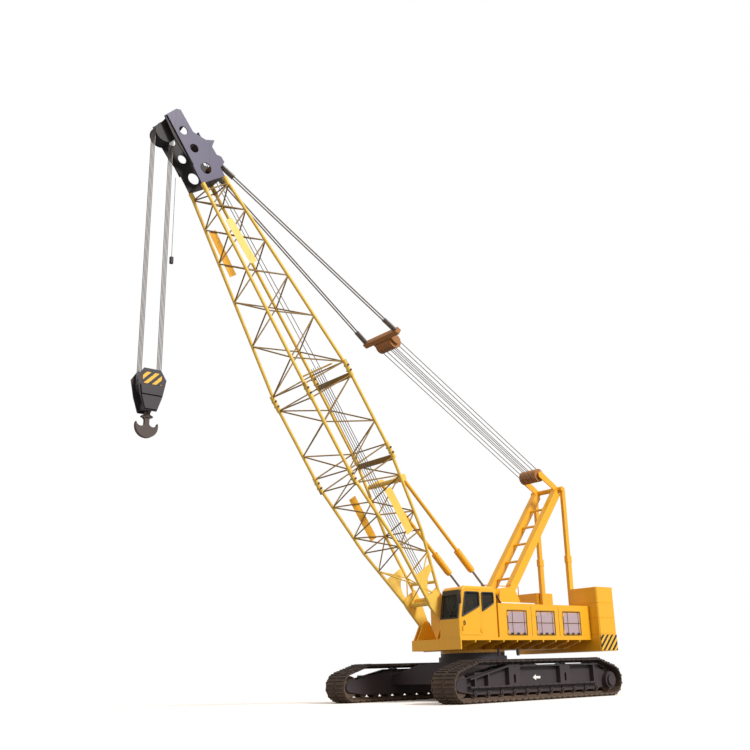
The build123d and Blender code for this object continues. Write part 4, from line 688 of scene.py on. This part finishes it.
for drum, x, z, radius in (("main_drum", -0.26, 2.48, 0.3), ("auxiliary_drum", -2.27, 2.48, 0.3),
                           ("luffing_drum", -3.33, 2.7, 0.27)):
    wraps = [ring((x, FIRST_WRAP_Y + WRAP_PITCH * n, z), radius, 0.02, (math.pi / 2, 0, 0), 28)
             for n in range(WRAPS)]
    settle(f"wraps_{drum}", wraps, wire, drum)

# %% [markdown]
# Springs wrap the backstops' tubes at their lower ends, where they stop the boom going over backwards.

# %% Backstop springs
COILS = 16
COIL_PITCH = 0.055
for label in ("left", "right"):
    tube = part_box(f"backstop_tube_{label}")
    y = (tube[0][1] + tube[1][1]) / 2
    top = Vector((3.40, y, 7.07))
    foot = Vector((0.36, y, 4.12))
    line = (foot - top).normalized()
    turn = line.to_track_quat("Z", "Y").to_euler()
    coils = [ring(foot - line * (0.12 + COIL_PITCH * n), 0.108, 0.014, turn, 18) for n in range(COILS)]
    settle(f"spring_{label}", coils, yellow, f"backstop_tube_{label}")

# %% [markdown]
# Small gear on the upper works: a white pipe on the left house's roof, a rail on the right house's roof, and a
# dark brace at the cab.

# %% Upper gear
ROOF_PIPE_Z = 3.03
run_pipe = [pipe([(0.1, 1.5, ROOF_PIPE_Z), (-1.6, 1.5, ROOF_PIPE_Z)], 0.018),
            pipe([(-1.6, 1.3, ROOF_PIPE_Z), (-1.6, 1.5, ROOF_PIPE_Z)], 0.018)]
settle("house_pipe", run_pipe, white, "upper")
RAIL_Y = -1.6
RAIL_TOP = 3.95
RAIL_POSTS = (-2.2, -3.0, -4.2)
rails = [rod((x, RAIL_Y, 3.0), (x, RAIL_Y, RAIL_TOP), 0.02, 8) for x in RAIL_POSTS]
for z, radius in ((RAIL_TOP, 0.02), (3.5, 0.016)):
    rails.append(pipe([(RAIL_POSTS[0], RAIL_Y, z), (RAIL_POSTS[-1], RAIL_Y, z)], radius))
settle("house_rail", rails, yellow, "upper")
cab_brace = [rod((0.40, 1.60, 3.30), (0.15, 1.60, 3.0), 0.03, 10)]
settle("cab_brace", cab_brace, plastic, "upper")

# %% [markdown]
# The boom's chords are yellow, and its thin lacing is dull dark brown as painted shade. The head's outer plates
# are blue-grey, and its inside, its belly and its sheaves are black as painted shade. The boards' right side takes
# the deeper machine yellow as painted shade. Faces take the second paint by their place on the boom.

# %% Boom with painted shade
THROAT_AT, SHOULDER_AT, HEAD_START = 0.9, 3.2, 16.06
CHORD_REACH = 0.09  # faces nearer a chord's axis than this keep the chord's paint
LACING_START = 2.3
HEAD_SHADE_DEPTH, HEAD_SHADE_WIDTH = -0.47, 0.39


def chord_place(along):
    """Half the boom's width and depth at a place along it."""
    grow = min(max((along - THROAT_AT) / (SHOULDER_AT - THROAT_AT), 0), 1)
    shrink = max((along - INSERT_END) / (HEAD_START - INSERT_END), 0)
    return 0.56 + 0.358 * grow - 0.518 * shrink, 0.14 + 0.79 * min(along / BASE_END, 1) - 0.49 * shrink


for name in ("boom_base", "boom_insert", "boom_top"):
    mesh = nodes[name].data
    mesh.materials.append(lacing_painted_shade)
    for face in mesh.polygons:
        place = face.center - FOOT_PIN
        along, height = place.dot(boom_run), place.dot(boom_rise)
        half, deep = chord_place(along)
        away = math.hypot(abs(place.y) - half, abs(height) - deep)
        # Faces away from the chords take the lacing's painted shade.
        if away > CHORD_REACH and along > LACING_START:
            face.material_index = 1
# The head's inside and belly, and its sheaves, take the black painted shade.
head_mesh = nodes["boom_head"].data
head_mesh.materials.append(painted_shade_black)
for face in head_mesh.polygons:
    place = face.center - FOOT_PIN
    if place.dot(boom_rise) < HEAD_SHADE_DEPTH or abs(place.y) < HEAD_SHADE_WIDTH:
        face.material_index = 1
nodes["head_sheaves"].data.materials[0] = painted_shade_black
board_mesh = nodes["boom_boards"].data
board_mesh.materials.append(yellow)
# Painted shade: the boards' right faces, away from the key lamp, take the deeper machine yellow.
for face in board_mesh.polygons:
    if face.center.y < 0:
        face.material_index = 1
